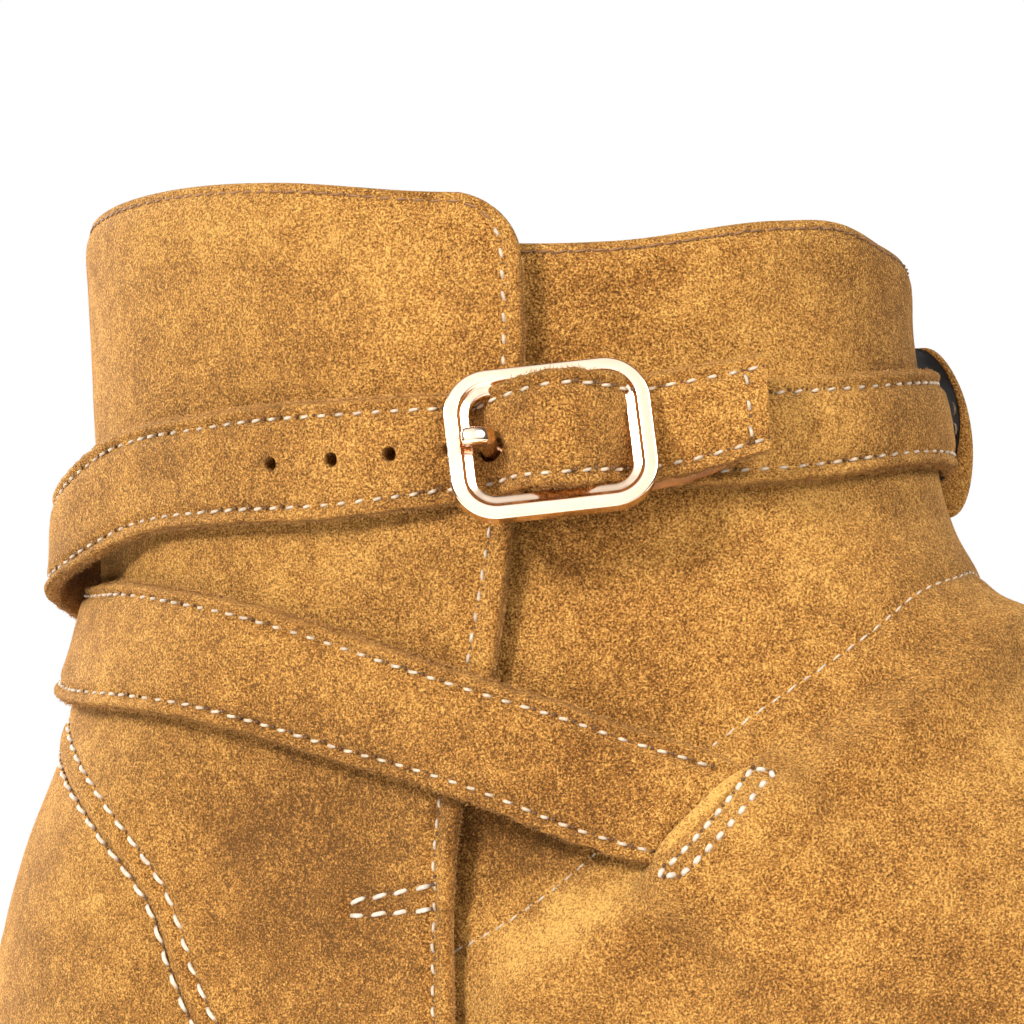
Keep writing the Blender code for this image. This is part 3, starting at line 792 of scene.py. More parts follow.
def upper_relief(girth, height):
    """Relief of the upper's face: sum of waves, roll, hollow, both slits and the stitch rows."""
    points = skin_points(girth, height)
    away = row_distance(points, ridge_points)
    ahead = points[..., 0] - smooth(FLAP_EDGE["height"] * MM, FLAP_EDGE["x"], height) * MM
    ridge = RIDGE_HEIGHT * np.exp(-((away / RIDGE_WIDTH) ** 2)) * ease(*RIDGE_FADE, ahead)
    relief = worn_waves(points) + ridge + hollow(points)
    relief += slit_swell(points, SLIT_LIP) + slit_swell(points, INNER_SLIT_LIP)
    return relief + row_relief(points, upper_row_points)


def upper_profile():
    """The wall's profile: shares of the way up and angles over the rim, with the rows of face and rim."""
    foot = np.linspace(0, FOOT_SHARE, FOOT_ROWS, endpoint=False)
    rise = np.concatenate([foot, np.linspace(FOOT_SHARE, 1, ANKLE_ROWS)])
    bend = np.linspace(0, math.pi, RIM_ROWS)[1:-1]
    fall = np.linspace(1, 0, LINING_ROWS)
    share = np.concatenate([rise, np.ones(len(bend)), fall])
    angle = np.concatenate([np.zeros(len(rise)), bend, np.full(len(fall), math.pi)])
    return share[:, None], angle[:, None], len(rise), len(bend)


def make_upper(suede, lining):
    """The upper's wall, carried round the foot: up the outer face, over the rim and down the lining."""
    outer_girth = np.linspace(0, 1, UPPER_OUTER_COLUMNS, endpoint=False)
    inner_girth = np.linspace(1, 2, UPPER_INNER_COLUMNS, endpoint=False)
    girth = np.concatenate([outer_girth, inner_girth])
    rim_round = WALL / 2
    rim = rim_height("upper_rim", turn_of(girth, np.full(len(girth), COLLAR_LEVEL))) - rim_round
    share, angle, face_rows, bend_rows = upper_profile()
    height = share * rim + rim_round * np.sin(angle)
    girth = np.broadcast_to(girth, height.shape)
    stand = np.zeros(height.shape) - rim_round * (1 - np.cos(angle))
    relief = upper_relief(girth[:face_rows], height[:face_rows])
    stand[:face_rows] += relief
    stand[face_rows:] += relief[-1] * (1 + np.cos(angle[face_rows:])) / 2
    rows, columns = height.shape
    quads = grid_quads(rows, columns, ring=True, around=True)
    lining_faces = np.arange(len(quads)) // columns >= face_rows + bend_rows // 2 + 1
    below = (share * rim - rim) / RIM_WEAR_REACH
    edge = RIM_WEAR * np.exp(-(below**2)) * np.ones(height.shape)
    add_piece(
        "upper_suede",
        lifted(girth, height, stand),
        quads,
        (suede, lining),
        "suede_upper",
        ("upper",),
        finish_of_face=lining_faces.astype(np.int32),
        cut_edge=edge,
    )


def slit_lip_line(place):
    """The lip's line as girth and height, carried a little past both of its ends."""
    (start, low), (end, high) = place
    corners = [
        (start * (1 - share) + end * share, low * (1 - share) + high * share)
        for share in (-LIP_PAST, LIP_PAST + 1)
    ]
    return line_through(corners)


def make_slit_lips(suede):
    """Turned edges of both slits: a low round bead carried along the lip, thinning out at its ends."""
    for number, place in enumerate((SLIT_LIP, INNER_SLIT_LIP)):
        girth, height = slit_lip_line(place)
        middle = lifted(girth, height, upper_relief(girth, height))
        out = skin_normals(girth, height)
        side = np.cross(unit(np.gradient(middle, axis=0)), out)
        share = np.linspace(0, 1, len(middle))
        size = np.sqrt(np.maximum(np.sin(math.pi * share), LIP_LEAST))[:, None, None]
        angle = ring_angles(LIP_SIDES)
        rings = LIP_WIDTH / 2 * np.cos(angle) * side[:, None] + LIP_HEIGHT * np.sin(angle) * out[:, None]
        quads, caps = rod_faces(len(middle), LIP_SIDES)
        points = middle[:, None] + size * rings
        add_piece("slit_lip_%d" % (number + 1), points, quads, (suede,), "suede_upper", caps=caps)


def fine_shares(length, middle):
    """Shares of a length with fine steps at both ends and even steps between them."""
    fine = EDGE_STEPS / length[..., None]
    last = fine[..., -1:]
    even = last + (1 - 2 * last) * np.linspace(0, 1, middle)[1:-1]
    zero = np.zeros(length.shape + (1,))
    return np.concatenate([zero, fine, even, 1 - fine[..., ::-1], 1 - zero], axis=-1)


def flap_lift(girth, height):
    """How far the quarter's free edge stands off the leather below, easing to nothing behind it."""
    edge = flap_edge_girth(height)
    behind = np.maximum(girth - edge, 0) * girth_scale(girth, height)
    lift = smooth(FLAP_LIFT["height"] * MM, FLAP_LIFT["lift"], height) * MM
    return lift * np.exp(-behind / FLAP_LIFT_REACH)


def rim_curl(name, girth, height):
    """How far the leather leans inwards close under a collar rim."""
    below = rim_height(name, turn_of(girth, height)) - height
    return RIM_CURL * np.exp(-np.maximum(below, 0) / RIM_CURL_REACH)


def quarter_stand(girth, height):
    """Stand of the quarter's outer face: thickness, flap lift, waves and rows, less the rim's curl."""
    points = skin_points(girth, height)
    stand = OVERLAY_STAND + QUARTER_THICKNESS + flap_lift(girth, height)
    stand = stand - rim_curl("quarter_rim", girth, height) * ease(*RIM_CURL_GIRTH, girth)
    return stand + QUARTER_WAVES * worn_waves(points) + row_relief(points, quarter_row_points)


def panel(
    name, girth, height, outer_stand, thickness, edge_distance, cut_distance, suede, slot, replaced
):
    """A leather panel with round cut edges: an outer and an inner face that meet there."""
    left = rounding(edge_distance, CUT_ROUND)
    outer = lifted(girth, height, outer_stand - thickness / 2 * (1 - left))
    inner = lifted(girth, height, outer_stand - thickness / 2 * (1 + left))
    rows, columns = height.shape
    cut = np.exp(-((cut_distance / CUT_WEAR_REACH) ** 2))
    return add_piece(
        name,
        np.concatenate([outer.reshape(-1, 3), inner.reshape(-1, 3)]),
        sheet_quads(rows, columns),
        (suede,),
        slot,
        replaced,
        cut_edge=np.concatenate([cut.ravel(), np.ones(cut.size)]),
    )


def quarter_rim():
    """Height of the quarter's rim at each column, tried again from the girth that the last try gives."""
    columns = fine_shares(np.array([QUARTER_RIM_RUN]), QUARTER_COLUMNS)[0]
    rim = np.full(columns.shape, FLAP_TOP)
    for _ in range(RIM_TRIES):
        front = flap_edge_girth(rim - RIM_ROOM)
        girth = front + (QUARTER_BACK_GIRTH - front) * columns
        rim = rim_height("quarter_rim", turn_of(girth, np.full(rim.shape, COLLAR_LEVEL)))
    return rim


def quarter_heights(rim):
    """Heights of the quarter's rows: wide apart at its foot, even up the shaft, close under the rim."""
    foot = np.linspace(OVERLAY_FOOT, QUARTER_LEVEL, QUARTER_FOOT_ROWS, endpoint=False)
    low, high = QUARTER_LEVEL, rim - EDGE_STEPS[-1]
    shaft = low + (high - low) * np.linspace(0, 1, QUARTER_SHAFT_ROWS)[:, None]
    top = rim - EDGE_STEPS[-2::-1, None]
    return np.concatenate([foot[:, None] + 0 * rim, shaft, top, (rim - RIM_ROOM)[None]])


def make_quarter(suede):
    """Outer quarter: rows from its foot to the rim, columns from the free front edge to the back."""
    rim = quarter_rim()
    height = quarter_heights(rim)
    front = flap_edge_girth(height)
    back = np.minimum(1 - seam_girth(height) + SEAM_LAP, QUARTER_BACK_GIRTH)
    ends = np.stack([skin_points(front[:, 0], height[:, 0]), skin_points(back[:, 0], height[:, 0])])
    length = np.maximum(np.linalg.norm(ends[1] - ends[0], axis=-1), QUARTER_LEAST_RUN)
    girth = front + (back - front) * fine_shares(length, QUARTER_COLUMNS)
    points = skin_points(girth, height)
    from_front = run_along(points, 1)
    from_back = from_front[:, -1:] - from_front
    free = np.minimum(from_front, rim - height)
    thickness = QUARTER_THICKNESS - SKIVED_BY * ease(*SKIVED_FROM, from_back)
    stand = quarter_stand(girth, height) - LAP_SINK * ease(*LAP_SINK_FROM, from_back)
    panel(
        "quarter_suede",
        girth,
        height,
        stand,
        thickness,
        np.minimum(free, from_back),
        free,
        suede,
        "suede_quarter",
        ("quarter_flap",),
    )


def counter_stand(girth, height):
    """Stand of the counter's outer face, a step below the quarter that laps over it."""
    points = skin_points(girth, height)
    stand = OVERLAY_STAND + COUNTER_THICKNESS - COUNTER_STEP + COUNTER_WAVES * worn_waves(points)
    return stand + row_relief(points, counter_row_points)


def make_counter(suede):
    """Heel counter: rows from its foot to its top, columns round the back of the heel."""
    foot = np.linspace(OVERLAY_FOOT, COUNTER_LEVEL, COUNTER_FOOT_ROWS, endpoint=False)
    height = np.concatenate([foot, np.linspace(COUNTER_LEVEL, COUNTER_TOP, COUNTER_ANKLE_ROWS)])
    reach = seam_girth(height)
    length = np.maximum(reach * 2 * COUNTER_HALF_GIRTH, COUNTER_LEAST_RUN)
    girth = 1 + reach[:, None] * (2 * fine_shares(length, COUNTER_COLUMNS) - 1)
    girth, height = np.broadcast_arrays(girth, height[:, None])
    from_front = run_along(skin_points(girth, height), 1)
    from_seams = np.minimum(from_front, from_front[:, -1:] - from_front)
    distance = np.minimum(from_seams, COUNTER_TOP + COUNTER_PAST - height)
    panel(
        "counter_suede",
        girth,
        height,
        counter_stand(girth, height),
        COUNTER_THICKNESS - COUNTER_STEP,
        distance,
        distance + UNWORN,
        suede,
        "suede_counter",
        ("heel_counter",),
    )


# Stitches, as pitch, length and thread radius
STITCH_PITCH = 2.3 * MM
STRAP_STITCH = (STITCH_PITCH, 1.40 * MM, 0.20 * MM)
SEAM_STITCH = (2.8 * MM, 2.30 * MM, 0.26 * MM)
SLIT_STITCH = (1.75 * MM, 1.35 * MM, 0.31 * MM)
FINE_STITCH = (2.0 * MM, 1.75 * MM, 0.14 * MM)

# Straps: stations along the run, the stitch rows inside their edges, and their worn cut edges
WRAP_STATIONS = 640
WRAP_STITCHED_FROM = 36.5
PUNCHED_STATIONS = 560
STRAP_ROW_INSET = 1.5 * MM
STRAP_EDGE_ROUND = 0.90 * MM
STRAP_PUFF = 0.40 * MM
STRAP_ROW_DEPTH = 0.72 * MM
STRAP_ROW_WIDTH = 0.62 * MM
STRAP_ROW_PULL = (0.8, 0.2)
STRAP_TIP_POINTS = 24
STRAP_EDGE_WAVER = 0.14 * MM
STRAP_WAVER_LENGTH = 6.1 * MM
STRAP_EDGE_FRAY = 0.10 * MM
STRAP_FRAY_REACH = 0.4 * MM
STRAP_WEAR_REACH = 0.35 * MM
STRAP_CURL = 1.1 * MM
STRAP_CURL_STAND = (-0.6 * MM, 2.4 * MM)
STRAP_EDGE_STEPS = np.array([0.0, 0.06, 0.16, 0.32, 0.55, 0.85, 1.15, 1.5, 1.85, 2.3]) * MM
STRAP_MIDDLE_COLUMNS = 19
STRAP_UNDER_COLUMNS = 9
UPRIGHT_TIP = 10.0

# Lining strip under the punched strap's tip
LINING_PATH = table(
    STRAP_COLUMNS,
    (
        (28.5, 129.4, 3.4, 4.0),
        (32, 128.3, 3.0, 5.0),
        (37, 127.0, 2.75, 5.0),
        (42, 126.2, 2.7, 5.0),
        (46, 125.9, 2.8, 4.0),
    ),
)
LINING_STATIONS = 70
LINING_THICKNESS = 0.7 * MM
LINING_OFFSETS = np.array((-1.0, -0.9, 0.0, 0.9, 1.0, 0.9, 0.0, -0.9))
LINING_LAYERS = np.array((0.5, 1.0, 1.0, 1.0, 0.5, 0.0, 0.0, 0.0))


def strap_offsets(half):
    """Offsets across a strap: close together by its edges, even between them."""
    low = -half[None, :] + STRAP_EDGE_STEPS[:, None]
    inset = STRAP_EDGE_STEPS[-1]
    middle = np.linspace(-1, 1, STRAP_MIDDLE_COLUMNS)[1:-1, None] * (half - inset)
    return np.concatenate([low, middle, -low[::-1]])


def strap_top(offset, half, run):
    """Thickness of a strap at an offset from its middle: puffed between its rows, drawn in on them."""
    edge = half - np.abs(offset)
    row = half - STRAP_ROW_INSET
    puff = STRAP_PUFF * np.maximum(1 - (offset / row) ** 2, 0)
    steady, swing = STRAP_ROW_PULL
    pull = steady + swing * np.cos(2 * math.pi * run / STITCH_PITCH)
    groove = STRAP_ROW_DEPTH * pull * np.exp(-(((edge - STRAP_ROW_INSET) / STRAP_ROW_WIDTH) ** 2))
    into = np.clip(STRAP_EDGE_ROUND - edge, 0, STRAP_EDGE_ROUND)
    drop = STRAP_EDGE_ROUND - np.sqrt(STRAP_EDGE_ROUND**2 - into**2)
    return STRAP_THICKNESS + puff - groove - drop


def strap_base(line, offset):
    """Stand of a strap's underside: its lower edge curls off the boot where the strap lies loose."""
    loose = STRAP_CURL * ease(*STRAP_CURL_STAND, line["stand"])
    return line["stand"] + loose * np.clip(-offset / line["half"], 0, 1) ** 2


def edge_fray(offset, half):
    """Small uneven steps of a strap's two cut edges, gone a little way inside them."""
    uneven = np.random.default_rng(len(half)).normal(0, 1, (2, len(half)))
    uneven = np.where(offset < 0, uneven[0], uneven[1])
    return STRAP_EDGE_FRAY * uneven * np.exp(-(half - np.abs(offset)) / STRAP_FRAY_REACH)


def strap_stations(path, count):
    """Middle line of a strap: turn, height, stand, half-width, slope and run at each station."""
    turn = np.linspace(path["turn"][0], path["turn"][-1], count)
    height, stand, width = (smooth(path["turn"], path[name], turn) * MM for name in STRAP_COLUMNS[1:])
    points = skin_points(girth_at(turn, height), height)
    radius = np.linalg.norm(points[:, :2] - [SHAFT_AXIS_X, 0], axis=-1)
    run, rise = np.gradient(np.radians(turn)) * radius, np.gradient(height)
    length = np.hypot(run, rise)
    half = width / 2 + STRAP_EDGE_WAVER * np.sin(np.cumsum(length) / STRAP_WAVER_LENGTH)
    return {
        "turn": turn,
        "height": height,
        "stand": stand,
        "half": half,
        "lean": rise / length / radius * ease(path["turn"][0], path["turn"][0] + UPRIGHT_TIP, turn),
        "upright": run / length,
        "run": np.cumsum(length),
    }


def strap_place(line, offset):
    """Girth and height at offsets across a strap, square to its run."""
    turn = line["turn"] - np.degrees(offset * line["lean"])
    height = line["height"] + offset * line["upright"]
    return girth_at(turn, height), height


def make_strap(name, path, count, suede, slot, node):
    """A strap: a closed profile across it, puffed above and flat below, carried along its run."""
    line = strap_stations(path, count)
    half = line["half"]
    top_offset = strap_offsets(half)
    under_offset = np.linspace(1, -1, STRAP_UNDER_COLUMNS)[:, None] * half
    frayed = top_offset + edge_fray(top_offset, half)
    girth, height = strap_place(line, frayed)
    top_stand = strap_base(line, top_offset) + strap_top(top_offset, half, line["run"])
    under_girth, under_height = strap_place(line, under_offset + edge_fray(under_offset, half))
    under_stand = strap_base(line, under_offset)
    points = np.concatenate(
        [lifted(girth, height, top_stand), lifted(under_girth, under_height, under_stand)]
    )
    rows, columns = points.shape[:2]
    edge = half - np.abs(np.concatenate([top_offset, under_offset]))
    cut = np.exp(-((edge / STRAP_WEAR_REACH) ** 2))
    cut[len(top_offset):] = 1
    return add_piece(
        name,
        points,
        grid_quads(rows, columns, ring=True),
        (suede,),
        slot,
        (node,),
        caps=run_caps(rows, columns),
        cut_edge=cut,
    )


def strap_rows(path, count, first_turn):
    """Both stitch rows of a strap, as (girth, height, stand), from a given turn on."""
    line = strap_stations(path, count)
    kept = line["turn"] >= first_turn
    line = {name: values[kept] for name, values in line.items()}
    rows = []
    for side in (-1, 1):
        offset = side * (line["half"] - STRAP_ROW_INSET)
        girth, height = strap_place(line, offset)
        stand = strap_base(line, offset) + strap_top(offset, line["half"], line["run"])
        rows.append((np.unwrap(girth, period=2), height, stand))
    return rows


def make_strap_lining(leather):
    """Leather lining that shows below the punched strap's tip: a thin strip on a path of its own."""
    line = strap_stations(LINING_PATH, LINING_STATIONS)
    half = line["half"]
    girth, height = strap_place(line, LINING_OFFSETS[:, None] * half)
    points = lifted(girth, height, line["stand"] + LINING_THICKNESS * LINING_LAYERS[:, None])
    rows, columns = points.shape[:2]
    caps = run_caps(rows, columns)
    quads = grid_quads(rows, columns, ring=True)
    add_piece("strap_lining", points, quads, (leather,), "suede_punched_strap", caps=caps)


def strap_tip_row(path, count):
    """The short stitch row across the punched strap's square tip."""
    line = strap_stations(path, count)
    at = int(np.searchsorted(line["run"] - line["run"][0], STRAP_ROW_INSET))
    line = {name: values[at] for name, values in line.items()}
    offset = np.linspace(-1, 1, STRAP_TIP_POINTS) * (line["half"] - STRAP_ROW_INSET)
    girth, height = strap_place(line, offset)
    return girth, height, strap_base(line, offset) + strap_top(offset, line["half"], line["run"])


# Keeper loop: its fineness, its round worn edges and the stitch row on its lining
KEEPER_ROWS = 90
KEEPER_COLUMNS = 44
KEEPER_EDGE_ROUND = 0.5 * MM
KEEPER_EDGE_SHARES = (0.45, 0.55)
KEEPER_WEAR = 0.5
KEEPER_WEAR_REACH = 0.4 * MM
KEEPER_ROW_RISE = (0.34, 0.68)
KEEPER_ROW_POINTS = 60
KEEPER_ROW_INSET = 0.9
KEEPER_ROW_SINK = 0.35 * MM


def keeper_height(rise):
    """Height at a share of the way up the keeper."""
    return KEEPER_HEIGHT[0] + (KEEPER_HEIGHT[1] - KEEPER_HEIGHT[0]) * rise


def keeper_arch(rise, foot=KEEPER_FOOT):
    """Stand of the keeper's inner face: a round arch from the top of its foot to its upper end."""
    share = np.clip((rise - foot) / (1 - foot), 0, 1)
    return GAP + KEEPER_RISE * np.maximum(np.sin(math.pi * share), 0) ** KEEPER_ROUND


def make_keeper(suede, lining):
    """Keeper loop: a closed strip arched over the strap, suede outside and near-black inside, painted as
    the shade in the gap under it.
    """
    rise = (1 - np.cos(np.linspace(0, math.pi, KEEPER_ROWS)[:, None])) / 2
    turn = np.linspace(*KEEPER_TURN, KEEPER_COLUMNS)[None, :]
    turn, height = np.broadcast_arrays(turn, keeper_height(rise))
    girth = girth_at(turn, height)
    inner = keeper_arch(rise) + 0 * turn
    across = run_along(skin_points(girth, height), 1)
    edge = np.minimum(across, across[:, -1:] - across)
    least, rest = KEEPER_EDGE_SHARES
    thickness = KEEPER_THICKNESS * (least + rest * rounding(edge, KEEPER_EDGE_ROUND))
    outer = lifted(girth, height, keeper_arch(rise, 0) + thickness)
    worn = KEEPER_WEAR * np.exp(-((edge / KEEPER_WEAR_REACH) ** 2))
    quads = sheet_quads(*height.shape)
    count = height.size
    # The inside faces take the near-black finish, painted as the shade in the gap under the keeper
    inside = (quads >= count).all(axis=-1)
    return add_piece(
        "keeper_suede",
        np.concatenate([outer.reshape(-1, 3), lifted(girth, height, inner).reshape(-1, 3)]),
        quads,
        (suede, lining),
        "suede_keeper",
        ("keeper_loop",),
        finish_of_face=inside.astype(np.int32),
        cut_edge=np.concatenate([worn.ravel(), np.ones(count)]),
    )


def keeper_row():
    """Stitch row on the keeper's lining, just inside its front edge."""
    rise = np.linspace(*KEEPER_ROW_RISE, KEEPER_ROW_POINTS)
    height = keeper_height(rise)
    girth = girth_at(np.full(KEEPER_ROW_POINTS, KEEPER_TURN[1] - KEEPER_ROW_INSET), height)
    return girth, height, keeper_arch(rise) - KEEPER_ROW_SINK


# Buckle frame: profile of its bar as (outward from the bar's middle, out of the boot), and its fineness
FRAME_PROFILE = table(
    ("outward", "out"),
    (
        (1.12, -1.25),
        (1.36, -1.08),
        (1.40, -0.70),
        (1.40, 0.60),
        (1.36, 0.84),
        (1.22, 0.97),
        (0.90, 1.00),
        (0.20, 1.02),
        (-0.02, 0.98),
        (-0.18, 0.84),
        (-0.34, 0.66),
        (-0.52, 0.58),
        (-1.15, 0.42),
        (-1.34, 0.26),
        (-1.40, -0.05),
        (-1.40, -0.90),
        (-1.20, -1.20),
        (0.0, -1.25),
    ),
)
FRAME_STEPS = 26
PROFILE_STEPS = 4
BAR_SIDES = 20
BAR_RINGS = 13

# Prong, with the steps of its round tip in mm and their share of the radius
PRONG_RADIUS = 0.95 * MM
PRONG_RAISED = 0.7 * MM
PRONG_SQUARE = 0.55
PRONG_RINGS = 40
TIP_STEPS = (0.25, 0.45, 0.58, 0.62)
TIP_RADII = (0.97, 0.86, 0.62, 0.30)


def buckle_place():
    """Frame of the buckle: x along the strap towards its tip, y up, z out of the boot."""
    girth = girth_at(np.array(BUCKLE_TURN), np.array(BUCKLE_Z))
    out = Vector(skin_normals(girth, np.array(BUCKLE_Z)))
    up = (Vector((0, 0, 1)) - out * out.z).normalized()
    along = up.cross(out)
    turned = Matrix((along, up, out)).transposed() @ Matrix.Rotation(BUCKLE_YAW, 3, "Y")
    turned = turned @ Matrix.Rotation(BUCKLE_TILT, 3, "Z") @ Matrix.Rotation(-BUCKLE_LEAN, 3, "X")
    return np.array(turned), skin_points(girth, np.array(BUCKLE_Z))


def on_buckle(points):
    """Points of the buckle's own frame, set in the boot's."""
    turned, middle = buckle_place()
    return points @ turned.T + middle


def closed_curve(columns, steps):
    """A closed smooth curve through the columns' points, with steps between each two."""
    count = len(columns[0])
    number = np.arange(-3, count + 4)
    at = np.arange(count * steps) / steps
    return [smooth(number.astype(float), column[number % count], at) for column in columns]


def rounded_loop(length, width, corner):
    """A rectangle about the origin with round corners, and its outward directions."""
    bend = np.linspace(0, math.pi / 2, FRAME_STEPS)
    angle = np.concatenate([quarter * math.pi / 2 + bend for quarter in range(4)])
    outward = np.stack([np.cos(angle), np.sin(angle)], axis=-1)
    middle = np.repeat([(1, 1), (-1, 1), (-1, -1), (1, -1)], FRAME_STEPS, axis=0)
    return middle * [length / 2 - corner, width / 2 - corner] + corner * outward, outward


def make_buckle(metal):
    """Buckle frame: the bar's profile carried round a rounded rectangle."""
    corner = FRAME_CORNER - FRAME_BAR / 2
    loop, outward = rounded_loop(FRAME_LENGTH - FRAME_BAR, FRAME_WIDTH - FRAME_BAR, corner)
    profile = [FRAME_PROFILE[name] * MM for name in ("outward", "out")]
    sideways, out = closed_curve(profile, PROFILE_STEPS)
    level = loop[None] + outward[None] * sideways[:, None, None]
    stand = (BUCKLE_STAND + FRAME_THICKNESS / 2 + out)[:, None, None]
    lift = np.broadcast_to(stand, level.shape[:2] + (1,))
    points = on_buckle(np.concatenate([level, lift], axis=-1))
    rows, columns = points.shape[:2]
    quads = grid_quads(rows, columns, ring=True, around=True)[:, ::-1]
    add_piece("buckle_metal", points, quads, (metal,), "rose_gold_frame", ("buckle_frame",))


def rod(path, radius, side, square=1.0):
    """Rings of a rod along a path in the buckle's frame, with its radius at each point; caps close it.

    The section is round, or nearer to a square when the power that bends its sines is below one.
    """
    tangent = unit(np.gradient(path, axis=0))
    side = np.broadcast_to(np.array(side, float), path.shape)
    other = np.cross(tangent, side)
    angle = ring_angles(BAR_SIDES)
    level, rise = (np.sign(wave) * np.abs(wave) ** square for wave in (np.cos(angle), np.sin(angle)))
    around = level * side[:, None] + rise * other[:, None]
    points = on_buckle(path[:, None] + radius[:, None, None] * around)
    return points, *rod_faces(len(path), BAR_SIDES)


def make_centre_bar(metal):
    """The bar across the frame's middle: a straight rod from side to side."""
    reach = np.linspace(-1, 1, BAR_RINGS) * (FRAME_WIDTH - FRAME_BAR) / 2
    path = np.stack([0 * reach, reach, np.full(BAR_RINGS, CENTRE_BAR_STAND)], axis=-1)
    points, quads, caps = rod(path, np.full(BAR_RINGS, CENTRE_BAR_RADIUS), (1, 0, 0))
    add_piece("buckle_centre_bar", points, quads, (metal,), "rose_gold_frame", caps=caps)


def prong_line():
    """The prong's middle line in the buckle's frame and its radius, ending in a round tip."""
    place = np.arange(len(PRONG_PATH["along"])).astype(float)
    at = np.concatenate([np.linspace(0, place[-1], PRONG_RINGS), np.full(len(TIP_STEPS), place[-1])])
    along, out = (smooth(place, PRONG_PATH[name], at) * MM for name in ("along", "out"))
    along[-len(TIP_STEPS):] -= np.array(TIP_STEPS) * MM
    radius = np.full(len(at), PRONG_RADIUS)
    radius[-len(TIP_STEPS):] *= TIP_RADII
    return np.stack([along, np.full(len(at), PRONG_RAISED), out], axis=-1), radius


def make_prong(metal):
    """The prong: a rod from the centre bar through the strap and over the far bar, round at its tip."""
    path, radius = prong_line()
    points, quads, caps = rod(path, radius, (0, 1, 0), PRONG_SQUARE)
    add_piece("prong_metal", points, quads, (metal,), "rose_gold_prong", ("buckle_prong",), caps=caps)


# Holes of the punched strap, with the stands between which each is cut
PRONG_HOLE_RADIUS = 1.35 * MM
PRONG_HOLE_ALONG = -6.3 * MM
PRONG_HOLE_REACH = (1.5 * MM, 11.0 * MM)
PUNCHED_HOLE_RADIUS = 0.85 * MM
PUNCHED_HOLE_REACH = (1 * MM, 8 * MM)
HOLE_SIDES = 24
HOLE_WEAR = 2.0


def cylinder(start, end, radius):
    """Points and quads of a round cutter between two points, its ends closed by two caps."""
    axis = Vector(end - start).normalized()
    side = np.array(axis.orthogonal().normalized())
    other = np.cross(np.array(axis), side)
    angle = ring_angles(HOLE_SIDES)
    ring = radius * (np.cos(angle) * side + np.sin(angle) * other)
    return np.stack([start + ring, end + ring]), *rod_faces(2, HOLE_SIDES)


def cut_hole(piece, points, quads, caps):
    """Takes the shape of the given closed surface out of a piece, and keeps the result as its mesh."""
    mesh = bpy.data.meshes.new("cutter")
    mesh.from_pydata(points.reshape(-1, 3).tolist(), [], quads.tolist() + [list(cap) for cap in caps])
    kept = mesh.attributes.new("cut_edge", "FLOAT", "POINT")
    kept.data.foreach_set("value", np.full(len(mesh.vertices), HOLE_WEAR, np.float32))
    cutter = bpy.data.objects.new("cutter", mesh)
    bpy.context.scene.collection.objects.link(cutter)
    cut = piece.modifiers.new("hole", "BOOLEAN")
    cut.operation = "DIFFERENCE"
    cut.solver = "EXACT"
    cut.object = cutter
    drawn = piece.evaluated_get(bpy.context.evaluated_depsgraph_get())
    result = bpy.data.meshes.new_from_object(drawn)
    piece.modifiers.clear()
    piece.data = result
    bpy.data.objects.remove(cutter)


def punch_holes(strap):
    """The spare holes of the punched strap, square to the boot, and the one that the prong fills."""
    for turn in HOLE_TURNS:
        height = smooth(PUNCHED_PATH["turn"], PUNCHED_PATH["height"], np.array(turn)) * MM
        girth = girth_at(np.array(turn), height)
        start, end = (lifted(girth, height, stand) for stand in PUNCHED_HOLE_REACH)
        cut_hole(strap, *cylinder(start, end, PUNCHED_HOLE_RADIUS))
    ends = np.array([(PRONG_HOLE_ALONG, PRONG_RAISED, stand) for stand in PRONG_HOLE_REACH])
    cut_hole(strap, *cylinder(*on_buckle(ends), PRONG_HOLE_RADIUS))


# Sole edge and heel stack: profile of the sole's edge as (inset in mm, share of the thickness)
EDGE_PROFILE = (
    (1.2, 0.0),
    (0.5, 0.06),
    (0.15, 0.18),
    (0.0, 0.36),
    (0.0, 0.64),
    (0.15, 0.82),
    (0.5, 0.94),
    (1.2, 1.0),
)
EDGE_MOST = 0.4
SOLE_STATIONS = 220
SOLE_COLUMNS = 25
HEEL_STATIONS = 90
BREAST_STATIONS = 30
BREAST_SEARCH = 2001
HEEL_LAYERS = 5
HEEL_LAYER_ROWS = 9
HEEL_GROOVE = 0.22 * MM
HEEL_GROOVE_SHARE = 0.05
HEEL_FOOT_ROUND = 0.5 * MM


def sole_edges(stations, outset, first=0.0):
    """Outer and inner edge points of a sole-shaped plate, from the toe to the heel."""
    share = (1 - np.cos(np.linspace(0, math.pi, stations))) / 2
    along = first + (1 - first) * (PLATE_TIP + (1 - 2 * PLATE_TIP) * share)
    level = np.zeros(stations)
    edges = []
    for girth in (along, 2 - along):
        around = (skin_points(girth + GIRTH_STEP, level) - skin_points(girth - GIRTH_STEP, level))[:, :2]
        outward = -unit(np.column_stack([around[:, 1], -around[:, 0]]))
        edges.append(skin_points(girth, level)[:, :2] + outset * outward)
    return edges


